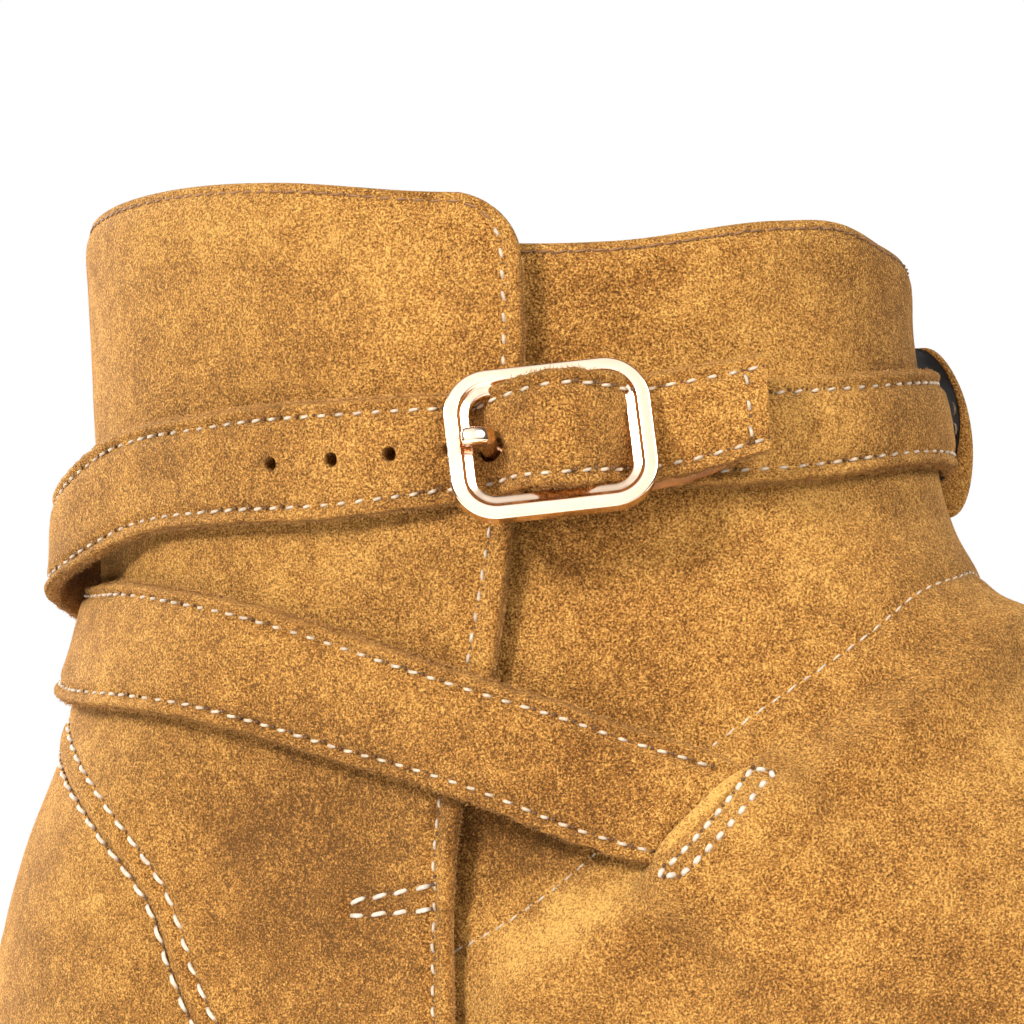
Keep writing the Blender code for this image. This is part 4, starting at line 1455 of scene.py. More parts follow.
def make_plate(name, outset, low, high, leather, slot, node):
    """A sole-shaped plate: a section with round edges carried from the toe to the heel."""
    outer, inner = sole_edges(SOLE_STATIONS, outset)
    across = inner - outer
    width = np.linalg.norm(across, axis=-1)
    inset, level = np.array(EDGE_PROFILE).T
    inset = np.minimum(inset[:, None] * MM, EDGE_MOST * width) / width
    inside = np.linspace(0, 1, SOLE_COLUMNS)[1:-1, None]
    top = inset[-1] + (1 - 2 * inset[-1]) * inside
    share = np.concatenate([inset, top, 1 - inset[::-1], top[::-1]])
    flat = np.ones(len(top))
    level = np.concatenate([level, flat, level[::-1], 0 * flat])[:, None]
    plan = outer + across * share[..., None]
    x = plan[..., 0]
    z = low(x) + (high(x) - low(x)) * level
    points = np.concatenate([plan, z[..., None]], axis=-1)
    rows, columns = points.shape[:2]
    quads = grid_quads(rows, columns, ring=True)
    add_piece(name, points, quads, (leather,), slot, (node,), run_caps(rows, columns), crisp=True)


def heel_outline():
    """The heel's outline at its top: along the outer side to the back, forward and over the breast."""
    along = np.linspace(0, 1, BREAST_SEARCH)
    x = skin_points(along, np.zeros(BREAST_SEARCH))[:, 0]
    breast = float(np.interp(-HEEL_BREAST_X, -x, along))
    outer, inner = sole_edges(HEEL_STATIONS, SOLE_EDGE, first=breast)
    across = np.linspace(0, 1, BREAST_STATIONS)[1:-1, None]
    return np.concatenate([outer, inner[::-1], inner[0] + (outer[0] - inner[0]) * across])


def make_heel(leather):
    """Heel: its outline carried up through the stacked layers, with a fine groove between them."""
    outline = heel_outline()
    layer = np.linspace(0, 1, HEEL_LAYER_ROWS)
    level = np.unique(np.concatenate([(number + layer) / HEEL_LAYERS for number in range(HEEL_LAYERS)]))
    place = np.mod(level * HEEL_LAYERS + 0.5, 1) - 0.5
    groove = HEEL_GROOVE * np.exp(-((place / HEEL_GROOVE_SHARE) ** 2))
    groove[0], groove[-1] = HEEL_FOOT_ROUND, 0.0
    taper = HEEL_TAPER * (1 - level) + groove
    plan = outline[None] - unit(outline)[None] * taper[:, None, None]
    plan[..., 0] = np.minimum(plan[..., 0], HEEL_BREAST_X)
    top = feather_height(plan[..., 0]) - 2 * GAP - SOLE_THICKNESS
    points = np.concatenate([plan, (top * level[:, None])[..., None]], axis=-1)
    rows, columns = points.shape[:2]
    caps = (np.arange(columns), (rows - 1) * columns + np.arange(columns)[::-1])
    quads = grid_quads(rows, columns, around=True)
    add_piece("heel_stack", points, quads, (leather,), "heel_leather", ("heel",), caps, crisp=True)


def make_soles(leather, lining):
    """Outsole below the upper's wall, and insole inside it."""
    make_plate(
        "outsole_leather",
        SOLE_EDGE,
        lambda x: feather_height(x) - GAP - SOLE_THICKNESS,
        lambda x: feather_height(x) - GAP,
        leather,
        "sole_leather",
        "outsole",
    )
    make_plate(
        "insole_lining",
        -(WALL + 2 * GAP),
        feather_height,
        lambda x: feather_height(x) + INSOLE_THICKNESS,
        lining,
        "insole_leather",
        "insole",
    )


# Stitches: their slant and unevenness, and how each one crowns, sinks in and tapers to its ends
STITCH_SLANT = math.radians(7)
STITCH_UNEVEN = 0.05
STITCH_CROWN = 0.95
STITCH_SINK = 1.95
STITCH_BEND = 2.5
STITCH_TAPER = 0.45
STITCH_CORNERS = 6
STITCH_RINGS = 6
STITCH_SHARES = np.linspace(-1, 1, STITCH_RINGS)

# Needle holes, low domes painted dark as the shade inside the holes: how high their two rings stand,
# in thread radii, and their share of the hole's size
NEEDLE_HOLE = 0.25 * MM
HOLE_LEVELS = np.array((0.1, 0.7))
HOLE_SHARES = np.array((1.0, 0.45))

random = np.random.default_rng(7)


def closed_rings(ring_count):
    """Quads of six-cornered rings one after the other, closed at both ends."""
    low_cap = np.array([[0, 3, 2, 1], [0, 5, 4, 3]])
    high_cap = np.array([[0, 1, 2, 3], [0, 3, 4, 5]]) + (ring_count - 1) * STITCH_CORNERS
    walls = grid_quads(ring_count, STITCH_CORNERS, around=True)[:, ::-1]
    return np.concatenate([walls, low_cap, high_cap])


def read_along(at, run, values):
    """Rows of values read at some places along a run."""
    return np.stack([np.interp(at, run, column) for column in values.T], axis=-1)


def stitch_places(lines, pitch):
    """Middle, direction along the row and outward direction of each stitch, evenly along its line."""
    places = []
    for girth, height, stand in lines:
        points = lifted(girth, height, stand)
        run = run_along(points[None], 1)[0]
        count = max(int(run[-1] / pitch), 1)
        at = (np.arange(count) + 0.5) * run[-1] / count
        out = unit(read_along(at, run, skin_normals(girth, height)))
        along = read_along(at, run, np.gradient(points, run, axis=0))
        along -= out * (along * out).sum(axis=-1, keepdims=True)
        places.append((read_along(at, run, points), unit(along), out))
    return [np.concatenate(group) for group in zip(*places)]


def thread_rings(centre, along, across, out, half, radius):
    """Rings of each thread along its length: the middle stands up, the ends sink in and taper."""
    t = STITCH_SHARES[None, :, None]
    middle = centre[:, None] + along[:, None] * half * t
    middle = middle + out[:, None] * radius * (STITCH_CROWN - STITCH_SINK * np.abs(t) ** STITCH_BEND)
    thick = radius * (1 - STITCH_TAPER * t**4)
    angle = ring_angles(STITCH_CORNERS)
    around = np.cos(angle) * across[:, None, None] + np.sin(angle) * out[:, None, None]
    return middle[:, :, None] + thick[:, :, None] * around


def needle_hole_shades(middle, along, across, out, radius):
    """Both rings of the low dome, flat on the leather, painted dark as the shade in each needle hole."""
    angle = ring_angles(STITCH_CORNERS)
    level = middle[:, None, None] + out[:, None, None] * HOLE_LEVELS[:, None, None] * radius
    flat = np.cos(angle) * across[:, None, None] - np.sin(angle) * along[:, None, None]
    return level + NEEDLE_HOLE * HOLE_SHARES[:, None, None] * flat


def stitches(lines, pitch, length, radius):
    """Points and quads of stitches along lines of (girth, height, stand), and the painted hole shade of
    each point.

    Each stitch is a short thread whose middle stands up and whose ends sink into the leather: a
    ring of six points carried along its length, slightly aslant to the row. Its ends are painted
    dark as the shade where they go in, and a low dome before each stitch is painted dark as the
    shade in the needle's hole.
    """
    centre, along, out = stitch_places(lines, pitch)
    across = np.cross(out, along)
    slant = STITCH_SLANT + random.normal(0, STITCH_UNEVEN, len(centre))[:, None]
    along, across = (
        np.cos(slant) * along + np.sin(slant) * across,
        np.cos(slant) * across - np.sin(slant) * along,
    )
    half = length / 2 * (1 + random.normal(0, STITCH_UNEVEN, len(centre)))[:, None, None]
    threads = thread_rings(centre, along, across, out, half, radius)
    holes = needle_hole_shades(centre - along * pitch / 2, along, across, out, radius)
    points = np.concatenate([threads, holes], axis=1)
    ring_count, hole_rings = threads.shape[1], holes.shape[1]
    hole_quads = closed_rings(hole_rings) + ring_count * STITCH_CORNERS
    one = np.concatenate([closed_rings(ring_count), hole_quads])
    first = np.arange(len(centre))[:, None, None] * (ring_count + hole_rings) * STITCH_CORNERS
    # Painted shade: the thread's ends and the needle-hole domes take the dark hole colour
    dark = np.concatenate([np.abs(STITCH_SHARES) ** 4, np.ones(hole_rings)])[None, :, None]
    quads = (one[None] + first).reshape(-1, 4)
    return points.reshape(-1, 3), quads, np.broadcast_to(dark, points.shape[:3])


def add_stitches(name, lines, thread, sizes):
    """One piece with the stitches of some rows."""
    points, quads, dark = stitches(lines, *sizes)
    # The end value carries the painted shade of the needle holes
    add_piece(name, points, quads, (thread,), None, end=dark)


def make_stitches(pale, beige, brown):
    """Every stitch row of the boot, laid on the relief of the leather that it holds."""
    edge, *seams = [(*row, quarter_stand(*row)) for row in quarter_rows]
    corner = int(np.argmax(edge[1] > FLAP_TOP - FLAP_CORNER / 2))
    flap = [column[: corner + 1] for column in edge]
    rim = [column[corner:] for column in edge]
    vamp, front_rim, *boxes = [(*row, upper_relief(*row)) for row in upper_rows]
    counter = [(*row, counter_stand(*row)) for row in counter_rows]
    straps = strap_rows(WRAP_PATH, WRAP_STATIONS, WRAP_STITCHED_FROM)
    straps += strap_rows(PUNCHED_PATH, PUNCHED_STATIONS, PUNCHED_PATH["turn"][0])
    straps.append(strap_tip_row(PUNCHED_PATH, PUNCHED_STATIONS))
    add_stitches("stitches_seams", seams + counter, pale, SEAM_STITCH)
    add_stitches("stitches_slits", boxes, pale, SLIT_STITCH)
    add_stitches("stitches_straps", straps, beige, STRAP_STITCH)
    add_stitches("stitches_flap", [flap], beige, STRAP_STITCH)
    add_stitches("stitches_vamp", [vamp], beige, FINE_STITCH)
    add_stitches("stitches_rims", [rim, front_rim], brown, FINE_STITCH)
    add_stitches("stitches_keeper", [keeper_row()], pale, FINE_STITCH)


# Loose fibres along the cut edges: how many, their size, and how they scatter and lean
WRAP_FIBRES = 12000
PUNCHED_FIBRES = 13200
FLAP_FIBRES = 4000
FIBRE_LENGTH = 0.50 * MM
FLAP_FIBRE_LENGTH = 0.32 * MM
FIBRE_SHORTEST = 0.35
FIBRE_LENGTH_POWER = 1.4
FIBRE_RADIUS = 0.055 * MM
FIBRE_CORNERS = (0.0, 2.1, 4.2)
FIBRE_FACES = np.array([[0, 1, 3], [1, 2, 3], [2, 0, 3], [0, 2, 1]])
FIBRE_SCATTER = 0.12 * MM
FIBRE_SPREAD = 0.6
FIBRE_DRIFT = 0.3
FIBRE_LAYERS = (0.15, 0.5, 0.85)
FIBRE_INSIDE = 0.8


def fuzz(base, out, sideways, count, length):
    """Short tapering fibres scattered over base points: thin three-sided spikes that lean at random."""
    pick = random.integers(0, len(base), count)
    foot = base[pick] + random.normal(0, FIBRE_SCATTER, (count, 3))
    lean = out[pick] + FIBRE_SPREAD * random.normal(0, 1, (count, 3))
    lean = unit(lean + FIBRE_DRIFT * FIBRE_SPREAD * sideways[pick])
    share = random.uniform(FIBRE_SHORTEST, 1.0, count) ** FIBRE_LENGTH_POWER
    tip = foot + lean * (length * share)[:, None]
    side = unit(np.cross(lean, random.normal(0, 1, (count, 3))))
    other = np.cross(lean, side)
    corners = [
        foot + FIBRE_RADIUS * (math.cos(angle) * side + math.sin(angle) * other)
        for angle in FIBRE_CORNERS
    ]
    points = np.stack([*corners, tip], axis=1)
    first = points.shape[1] * np.arange(count)[:, None, None]
    return points.reshape(-1, 3), (FIBRE_FACES[None] + first).reshape(-1, 3)


def strap_fibres(path, count):
    """Feet and directions of the fibres along both cut edges of a strap."""
    line = strap_stations(path, count)
    feet, outward, across = [], [], []
    for side in (-1, 1):
        edge = side * line["half"]
        girth, height = strap_place(line, edge)
        inside = strap_place(line, edge * FIBRE_INSIDE)
        for layer in FIBRE_LAYERS:
            stand = strap_base(line, edge) + layer * (STRAP_THICKNESS - STRAP_EDGE_ROUND)
            points = lifted(girth, height, stand)
            feet.append(points)
            outward.append(unit(points - lifted(*inside, stand)))
            across.append(skin_normals(girth, height))
    return np.concatenate(feet), np.concatenate(outward), np.concatenate(across)


def flap_fibres():
    """Feet and directions of the fibres along the quarter's front edge."""
    girth, height = quarter_edge_line()
    front = height < FLAP_TOP - FLAP_CORNER
    girth, height = girth[front], height[front]
    stand = quarter_stand(girth, height) - QUARTER_THICKNESS / 2
    points = lifted(girth, height, stand)
    away = points - lifted(*beside(girth, height, -MM), stand)
    return points, unit(away), skin_normals(girth, height)


def make_fuzz(fibre):
    """Loose fibres along the cut edges of both straps and of the quarter."""
    wrap = strap_fibres(WRAP_PATH, WRAP_STATIONS)
    punched = strap_fibres(PUNCHED_PATH, PUNCHED_STATIONS)
    edges = (
        ("fuzz_wrap_strap", wrap, WRAP_FIBRES, FIBRE_LENGTH, "suede_strap"),
        ("fuzz_punched_strap", punched, PUNCHED_FIBRES, FIBRE_LENGTH, "suede_punched_strap"),
        ("fuzz_quarter", flap_fibres(), FLAP_FIBRES, FLAP_FIBRE_LENGTH, "suede_quarter"),
    )
    for name, places, count, length, slot in edges:
        points, faces = fuzz(*places, count, length)
        add_piece(name, points, faces, (fibre,), slot)


# Broad patches of painted light and shade on the suede, darker in the shade under the straps and in
# hollows,
# lighter on lit rolls and faces: turn and height of the middle, reach in mm and change of tone
LIGHT_AND_SHADE_PATCHES = (
    (101, 82, 26, -0.065),
    (84, 72, 18, -0.040),
    (62, 87, 10, -0.085),
    (53, 86, 7, -0.060),
    (47, 92, 13, -0.050),
    (20, 118, 26, 0.030),
    (58, 73, 6, 0.060),
    (52, 77, 6, 0.060),
    (46, 80, 6, 0.060),
    (40, 83, 6, 0.045),
    (30, 143, 24, 0.030),
    (108, 127, 20, -0.045),
    (44, 113, 10, 0.030),
    (36, 70, 14, -0.025),
)

# Colours, as linear red, green and blue
SUEDE_DARK = (0.100, 0.031, 0.004)
SUEDE_MIDDLE = (0.405, 0.156, 0.027)
SUEDE_LIGHT = (0.870, 0.470, 0.115)
CUT_BROWN = (0.230, 0.092, 0.024)
LINING_DARK = (0.30, 0.17, 0.075)
LINING_LIGHT = (0.42, 0.25, 0.12)
ORANGE_DARK = (0.24, 0.080, 0.016)
ORANGE_LIGHT = (0.46, 0.170, 0.034)
BLACK_DARK = (0.006, 0.006, 0.007)
BLACK_LIGHT = (0.022, 0.020, 0.020)
PALE_THREAD = (0.60, 0.49, 0.37)
BEIGE_THREAD = (0.50, 0.38, 0.26)
BROWN_THREAD = (0.22, 0.100, 0.034)
# Painted shade inside the needle holes, at the thread's ends and on the domes
HOLE_SHADE_BROWN = (0.10, 0.042, 0.012)
FIBRE_DARK = (0.30, 0.125, 0.027)
FIBRE_LIGHT = (0.68, 0.35, 0.10)
GOLD_DARK = (0.88, 0.62, 0.43)
GOLD_LIGHT = (0.97, 0.74, 0.57)
SOLE_DARK = (0.115, 0.062, 0.030)
SOLE_LIGHT = (0.175, 0.097, 0.049)
FLOOR_GREY = (0.86, 0.86, 0.86)
FLOOR_WHITE = (0.92, 0.92, 0.92)
BLACK = (0, 0, 0)
WHITE = (1, 1, 1)

# Nap of the suede: each noise as spots to a metre, detail and roughness; strands as spots and swirl
FIBRE_NOISE = (4100, 2.0, 0.65)
STRANDS = (3900, 1.2)
STRAND_STOPS = ((0.37, BLACK), (0.5, WHITE), (0.63, BLACK))
CLUMP_NOISE = (950, 3.0, 0.6)
BRUSHED_NOISE = (230, 3.0, 0.55)
BLOTCH_NOISE = (42, 3.0, 0.5)

# Suede: weights of fibre, strand, clump, brush and blotch in its tone, and of the first four in its nap
TONE_WEIGHTS = (0.66, 0.09, 0.14, 0.15, 0.22)
NAP_WEIGHTS = (0.60, 0.10, 0.25, 0.3)
SUEDE_STOPS = (0.508, 0.614, 0.748)
STRAP_TONE = -0.012
# Painted highlight: the slit lips take a lighter copy of the suede, standing in for the light on their
# raised edges
LIP_PAINTED_HIGHLIGHT = 0.08
WORN_WEIGHTS = (0.6, 0.8)
WORN_STOPS = ((0.52, BLACK), (0.98, (0.3, 0.3, 0.3)))
SUEDE_SURFACE = {
    "Roughness": 0.95,
    "Specular IOR Level": 0.10,
    "Sheen Weight": 0.25,
    "Sheen Roughness": 0.5,
    "Sheen Tint": (1.0, 0.66, 0.25, 1),
}
NAP_HEIGHT = 1.3 * MM
NAP_STRENGTH = 0.9

# Thread: its noise, the places and shades of its two tones, and its twist
THREAD_NOISE = (1500, 2.0, 0.5)
THREAD_STOPS = ((0.35, 0.72), (0.65, 1.12))
THREAD_ROUGHNESS = 0.75
THREAD_TWIST = 0.06 * MM

# Plain finishes: dark and light colour, spots to a metre, roughness and depth of the grain
LINING_LEATHER = (LINING_DARK, LINING_LIGHT, 160, 0.80, 0.05 * MM)
STRAP_LINING = (ORANGE_DARK, ORANGE_LIGHT, 300, 0.6, 0.06 * MM)
# Painted shade: the keeper's near-black inside stands in for the shade in the gap between keeper and strap
KEEPER_GAP_SHADE = (BLACK_DARK, BLACK_LIGHT, 400, 0.6, 0.05 * MM)
LOOSE_FIBRE = (FIBRE_DARK, FIBRE_LIGHT, 700, 0.9, 0.01 * MM)
ROSE_GOLD = (GOLD_DARK, GOLD_LIGHT, 60, 0.13, 0.004 * MM)
SOLE_LEATHER = (SOLE_DARK, SOLE_LIGHT, 260, 0.62, 0.05 * MM)
SOLE_COAT = 0.05
FLOOR_PAPER = (FLOOR_GREY, FLOOR_WHITE, 14, 0.8, 0.02 * MM)

# Grain of the plain finishes: detail and roughness of its broad and fine noise, and stops of tone and gloss
BROAD_GRAIN = (4.0, 0.6)
FINE_GRAIN = (2.0, 0.5)
FINER = 5
GRAIN_WEIGHTS = (0.7, 0.3)
GRAIN_STOPS = (0.35, 0.65)
GLOSS_STOPS = ((0.3, 0.85), (0.7, 1.15))


def add_node(tree, kind, settings=None, inputs=None):
    """A shader node with its settings; each input takes a value or the output socket it is linked to."""
    made = tree.nodes.new(kind)
    for name, value in (settings or {}).items():
        setattr(made, name, value)
    for name, value in (inputs or {}).items():
        if isinstance(value, bpy.types.NodeSocket):
            tree.links.new(value, made.inputs[name])
        else:
            made.inputs[name].default_value = value
    return made


def new_finish(name):
    """An empty material: its node tree, its shader and the place of each point on the boot."""
    finish = bpy.data.materials.new(name)
    finish.use_nodes = True
    tree = finish.node_tree
    shader = tree.nodes["Principled BSDF"]
    place = add_node(tree, "ShaderNodeTexCoord").outputs["Object"]
    return finish, tree, shader, place


def add_noise(tree, place, scale, detail=2.0, roughness=0.5, swirl=0.0):
    """Soft random spots with the given number to a metre, drawn out into swirls."""
    inputs = {
        "Vector": place,
        "Scale": scale,
        "Detail": detail,
        "Roughness": roughness,
        "Distortion": swirl,
    }
    return add_node(tree, "ShaderNodeTexNoise", inputs=inputs).outputs["Fac"]


def weigh(tree, terms):
    """Sum of (socket, weight) pairs."""
    total = None
    for socket, weight in terms:
        inputs = {0: socket, 1: weight}
        term = add_node(tree, "ShaderNodeMath", {"operation": "MULTIPLY"}, inputs).outputs[0]
        if total is not None:
            term = add_node(tree, "ShaderNodeMath", {"operation": "ADD"}, {0: total, 1: term}).outputs[0]
        total = term
    return total


def add_ramp(tree, amount, stops):
    """Colours along an amount: stops of (place, colour)."""
    ramp = add_node(tree, "ShaderNodeValToRGB", inputs={"Fac": amount})
    elements = ramp.color_ramp.elements
    while len(elements) < len(stops):
        elements.new(0.5)
    for element, (place, colour) in zip(elements, stops):
        element.position = place
        element.color = (*colour, 1)
    return ramp.outputs["Color"]


def add_strands(tree, place, scale, swirl):
    """Fine crossing strands: high along the winding lines where a noise passes its middle."""
    spots = add_noise(tree, place, scale, 0.0, 0.5, swirl)
    return add_ramp(tree, spots, STRAND_STOPS)


def add_painted_light_and_shade(tree, place, tone):
    """The tone with the broad patches of painted light and shade added to it, each fading with distance
    from its middle.
    """
    for turn, height, reach, change in LIGHT_AND_SHADE_PATCHES:
        level = np.array(height * MM)
        middle = skin_points(girth_at(np.array(turn), level), level)
        ends = {0: place, 1: tuple(middle)}
        away = add_node(tree, "ShaderNodeVectorMath", {"operation": "DISTANCE"}, ends)
        patch = add_node(
            tree,
            "ShaderNodeMapRange",
            {"interpolation_type": "SMOOTHSTEP"},
            {"Value": away.outputs["Value"], "From Max": reach * MM, "To Min": change, "To Max": 0.0},
        )
        tone = weigh(tree, ((tone, 1.0), (patch.outputs["Result"], 1.0)))
    return tone


def mix_colour(tree, amount, first, second):
    """The first colour passing into the second as the amount goes from 0 to 1."""
    inputs = {"Fac": amount, "Color1": first, "Color2": second}
    return add_node(tree, "ShaderNodeMixRGB", inputs=inputs).outputs["Color"]


def add_bump(tree, shader, height, distance, strength=1.0):
    """Fine relief of a finish, from a height between 0 and 1 that stands for the given distance."""
    inputs = {"Height": height, "Distance": distance, "Strength": strength}
    bump = add_node(tree, "ShaderNodeBump", inputs=inputs)
    tree.links.new(bump.outputs["Normal"], shader.inputs["Normal"])


def read_value(tree, name):
    """A value that the mesh keeps at its points."""
    return add_node(tree, "ShaderNodeAttribute", {"attribute_name": name}).outputs["Fac"]


def shaded(colour, shade):
    """A colour with each of its channels times a shade."""
    return tuple(channel * shade for channel in colour)


def suede_finish(name, lift=0.0):
    """Napped suede: short fibres in clumps, brushed blotches, broad patches of painted light and shade,
    brown cut edges and a soft sheen.
    """
    finish, tree, shader, place = new_finish(name)
    fibre = add_noise(tree, place, *FIBRE_NOISE)
    strand = add_strands(tree, place, *STRANDS)
    clump = add_noise(tree, place, *CLUMP_NOISE)
    brushed = add_noise(tree, place, *BRUSHED_NOISE)
    blotch = add_noise(tree, place, *BLOTCH_NOISE)
    tone = weigh(tree, zip((fibre, strand, clump, brushed, blotch), TONE_WEIGHTS))
    colours = (SUEDE_DARK, SUEDE_MIDDLE, SUEDE_LIGHT)
    stops = [(stop - lift, colour) for stop, colour in zip(SUEDE_STOPS, colours)]
    # Painted light and shade: broad patches darken the suede in the shade under the straps and in hollows,
    # and lighten it on lit rolls
    colour = add_ramp(tree, add_painted_light_and_shade(tree, place, tone), stops)
    worn = weigh(tree, zip((read_value(tree, "cut_edge"), clump), WORN_WEIGHTS))
    colour = mix_colour(tree, add_ramp(tree, worn, WORN_STOPS), colour, (*CUT_BROWN, 1))
    tree.links.new(colour, shader.inputs["Base Color"])
    for socket, value in SUEDE_SURFACE.items():
        shader.inputs[socket].default_value = value
    height = weigh(tree, zip((fibre, strand, clump, brushed), NAP_WEIGHTS))
    add_bump(tree, shader, height, NAP_HEIGHT, NAP_STRENGTH)
    return finish


def thread_finish(name, colour):
    """Thread: its colour with a little variation along it, and painted shade where its ends go into the
    leather and on the needle-hole domes.
    """
    finish, tree, shader, place = new_finish(name)
    spots = add_noise(tree, place, *THREAD_NOISE)
    plain = add_ramp(tree, spots, [(stop, shaded(colour, shade)) for stop, shade in THREAD_STOPS])
    # Painted shade of the needle holes, where the thread's ends go in and on the domes before each stitch
    mixed = mix_colour(tree, read_value(tree, "end"), plain, (*HOLE_SHADE_BROWN, 1))
    tree.links.new(mixed, shader.inputs["Base Color"])
    shader.inputs["Roughness"].default_value = THREAD_ROUGHNESS
    add_bump(tree, shader, spots, THREAD_TWIST)
    return finish


def grained_finish(name, dark, light, scale, roughness, bump, metallic=0.0, coat=0.0):
    """A plain finish with soft spots of two tones, a fine grain in the surface and some gloss."""
    finish, tree, shader, place = new_finish(name)
    spots = add_noise(tree, place, scale, *BROAD_GRAIN)
    fine = add_noise(tree, place, scale * FINER, *FINE_GRAIN)
    tone = weigh(tree, zip((spots, fine), GRAIN_WEIGHTS))
    colour = add_ramp(tree, tone, tuple(zip(GRAIN_STOPS, (dark, light))))
    tree.links.new(colour, shader.inputs["Base Color"])
    gloss = add_ramp(tree, tone, [(stop, (roughness * share,) * 3) for stop, share in GLOSS_STOPS])
    tree.links.new(gloss, shader.inputs["Roughness"])
    shader.inputs["Metallic"].default_value = metallic
    shader.inputs["Coat Weight"].default_value = coat
    add_bump(tree, shader, tone, bump)
    return finish


# Studio: camera as in the photo, a pale floor, and a white world with a bright front for the metal
CAMERA_PLACE = (0.2720, -0.4157, 0.1216)
CAMERA_TARGET = (0.0320, 0.0, 0.1216)
CAMERA_LENS = 141.75
CAMERA_SENSOR = 36.0
CAMERA_NEAR = 0.01
FLOOR_X = 0.08
FLOOR_RADIUS = 0.42
FLOOR_SIDES = 96
WORLD_SEEN = 1.0
WORLD_LIGHT = 0.16
ROOM_DARK = 0.10
ROOM_BRIGHT = 1.80
ROOM_FRONT = (0.25, -0.88, 0.40)
ROOM_EDGE = (0.66, 1.26)
ROOM_NOISE = (6.0, 1.0)
ROOM_NOISE_WEIGHT = 0.45

# Lights: name, place, target, size and power
LIGHTS = (
    ("key_light", (-0.12, -0.76, 0.52), (0.03, 0, 0.11), 0.22, 11.4),
    ("right_light", (0.75, -0.30, 0.62), (0.04, 0, 0.11), 0.45, 8.6),
    ("left_light", (-0.80, 0.25, 0.35), (0.00, 0, 0.10), 0.60, 17.5),
    ("back_light", (0.15, 0.85, 0.40), (0.04, 0, 0.10), 0.70, 4.0),
)


def facing(place, target):
    """Turn that points an object's -Z axis from a place to a target."""
    return (Vector(target) - Vector(place)).to_track_quat("-Z", "Y").to_euler()


def add_lights():
    """Round soft lights around the boot."""
    for name, place, target, size, power in LIGHTS:
        light = bpy.data.lights.new(name, "AREA")
        light.shape = "DISK"
        light.size = size
        light.energy = power
        lamp = bpy.data.objects.new(name, light)
        lamp.location = place
        lamp.rotation_euler = facing(place, target)
        bpy.context.scene.collection.objects.link(lamp)


def add_span(tree, amount, low, high, **limits):
    """A value that passes from low to high as an amount goes from 0 to 1, or between other limits."""
    inputs = {"Value": amount, "To Min": low, "To Max": high, **limits}
    return add_node(tree, "ShaderNodeMapRange", inputs=inputs).outputs["Result"]


def add_world():
    """White behind the boot, a soft white that lights it, and a bright front that the metal mirrors."""
    world = bpy.data.worlds.new("studio")
    world.use_nodes = True
    tree = world.node_tree
    background = tree.nodes["Background"]
    background.inputs["Color"].default_value = (*WHITE, 1)
    ray = add_node(tree, "ShaderNodeLightPath").outputs
    direction = add_node(tree, "ShaderNodeTexCoord").outputs["Generated"]
    both = {0: direction, 1: ROOM_FRONT}
    front = add_node(tree, "ShaderNodeVectorMath", {"operation": "DOT_PRODUCT"}, both).outputs["Value"]
    noise = add_noise(tree, direction, *ROOM_NOISE)
    seen = weigh(tree, ((front, 1.0), (noise, ROOM_NOISE_WEIGHT)))
    limits = dict(zip(("From Min", "From Max"), ROOM_EDGE))
    room = add_span(tree, seen, ROOM_DARK, ROOM_BRIGHT, **limits)
    light = add_span(tree, ray["Is Glossy Ray"], WORLD_LIGHT, room)
    strength = add_span(tree, ray["Is Camera Ray"], light, WORLD_SEEN)
    tree.links.new(strength, background.inputs["Strength"])
    bpy.context.scene.world = world


def add_floor():
    """A round pale floor: one ring of points, closed by one face."""
    angle = ring_angles(FLOOR_SIDES)
    ring = FLOOR_RADIUS * np.concatenate([np.cos(angle), np.sin(angle), 0 * angle], axis=-1)
    points = ring + (FLOOR_X, 0, 0)
    mesh = bpy.data.meshes.new("floor")
    mesh.from_pydata(points.tolist(), [], [list(range(FLOOR_SIDES))])
    mesh.materials.append(grained_finish("floor_paper", *FLOOR_PAPER))
    floor = bpy.data.objects.new("floor", mesh)
    bpy.context.scene.collection.objects.link(floor)


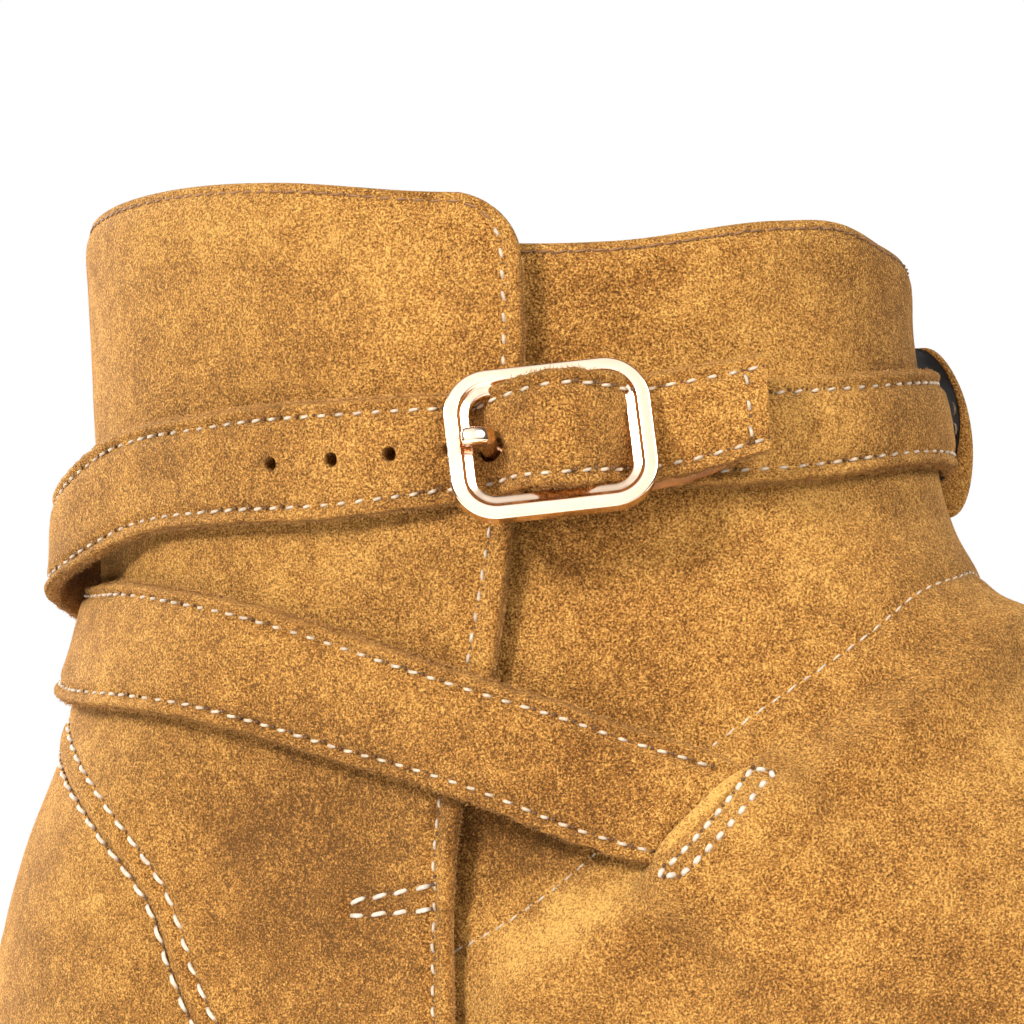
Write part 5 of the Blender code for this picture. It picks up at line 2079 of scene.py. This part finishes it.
def add_camera():
    """The camera that sees the boot as the photo does."""
    lens = bpy.data.cameras.new("camera")
    lens.lens = CAMERA_LENS
    lens.sensor_width = CAMERA_SENSOR
    lens.clip_start = CAMERA_NEAR
    camera = bpy.data.objects.new("camera", lens)
    camera.location = CAMERA_PLACE
    camera.rotation_euler = facing(CAMERA_PLACE, CAMERA_TARGET)
    bpy.context.scene.collection.objects.link(camera)
    bpy.context.scene.camera = camera


def make_boot():
    """Every visible piece of the boot, with its finish."""
    suede = suede_finish("tan_suede")
    strap_suede = suede_finish("strap_suede", STRAP_TONE)
    # The slit lips' lighter suede is a painted highlight on their raised edges
    lip_suede_painted_highlight = suede_finish("lip_suede_painted_highlight", LIP_PAINTED_HIGHLIGHT)
    lining = grained_finish("lining_leather", *LINING_LEATHER)
    strap_lining = grained_finish("strap_lining", *STRAP_LINING)
    # Near-black inside of the keeper: painted shade of the gap under it
    keeper_gap_shade = grained_finish("keeper_gap_shade", *KEEPER_GAP_SHADE)
    threads = [
        thread_finish("pale_thread", PALE_THREAD),
        thread_finish("beige_thread", BEIGE_THREAD),
        thread_finish("brown_thread", BROWN_THREAD),
    ]
    fibre = grained_finish("loose_fibre", *LOOSE_FIBRE)
    gold = grained_finish("rose_gold", *ROSE_GOLD, metallic=1.0)
    sole = grained_finish("sole_leather", *SOLE_LEATHER, coat=SOLE_COAT)
    make_upper(suede, lining)
    make_quarter(suede)
    make_counter(suede)
    make_slit_lips(lip_suede_painted_highlight)
    make_strap("wrap_strap_suede", WRAP_PATH, WRAP_STATIONS, strap_suede, "suede_strap", "wrap_strap")
    punched = make_strap(
        "punched_strap_suede",
        PUNCHED_PATH,
        PUNCHED_STATIONS,
        strap_suede,
        "suede_punched_strap",
        "punched_strap",
    )
    punch_holes(punched)
    make_strap_lining(strap_lining)
    make_keeper(strap_suede, keeper_gap_shade)
    make_buckle(gold)
    make_centre_bar(gold)
    make_prong(gold)
    make_soles(sole, lining)
    make_heel(sole)
    make_stitches(*threads)
    make_fuzz(fibre)


make_boot()
add_world()
add_lights()
add_floor()
add_camera()
bpy.context.scene.view_settings.view_transform = "Standard"
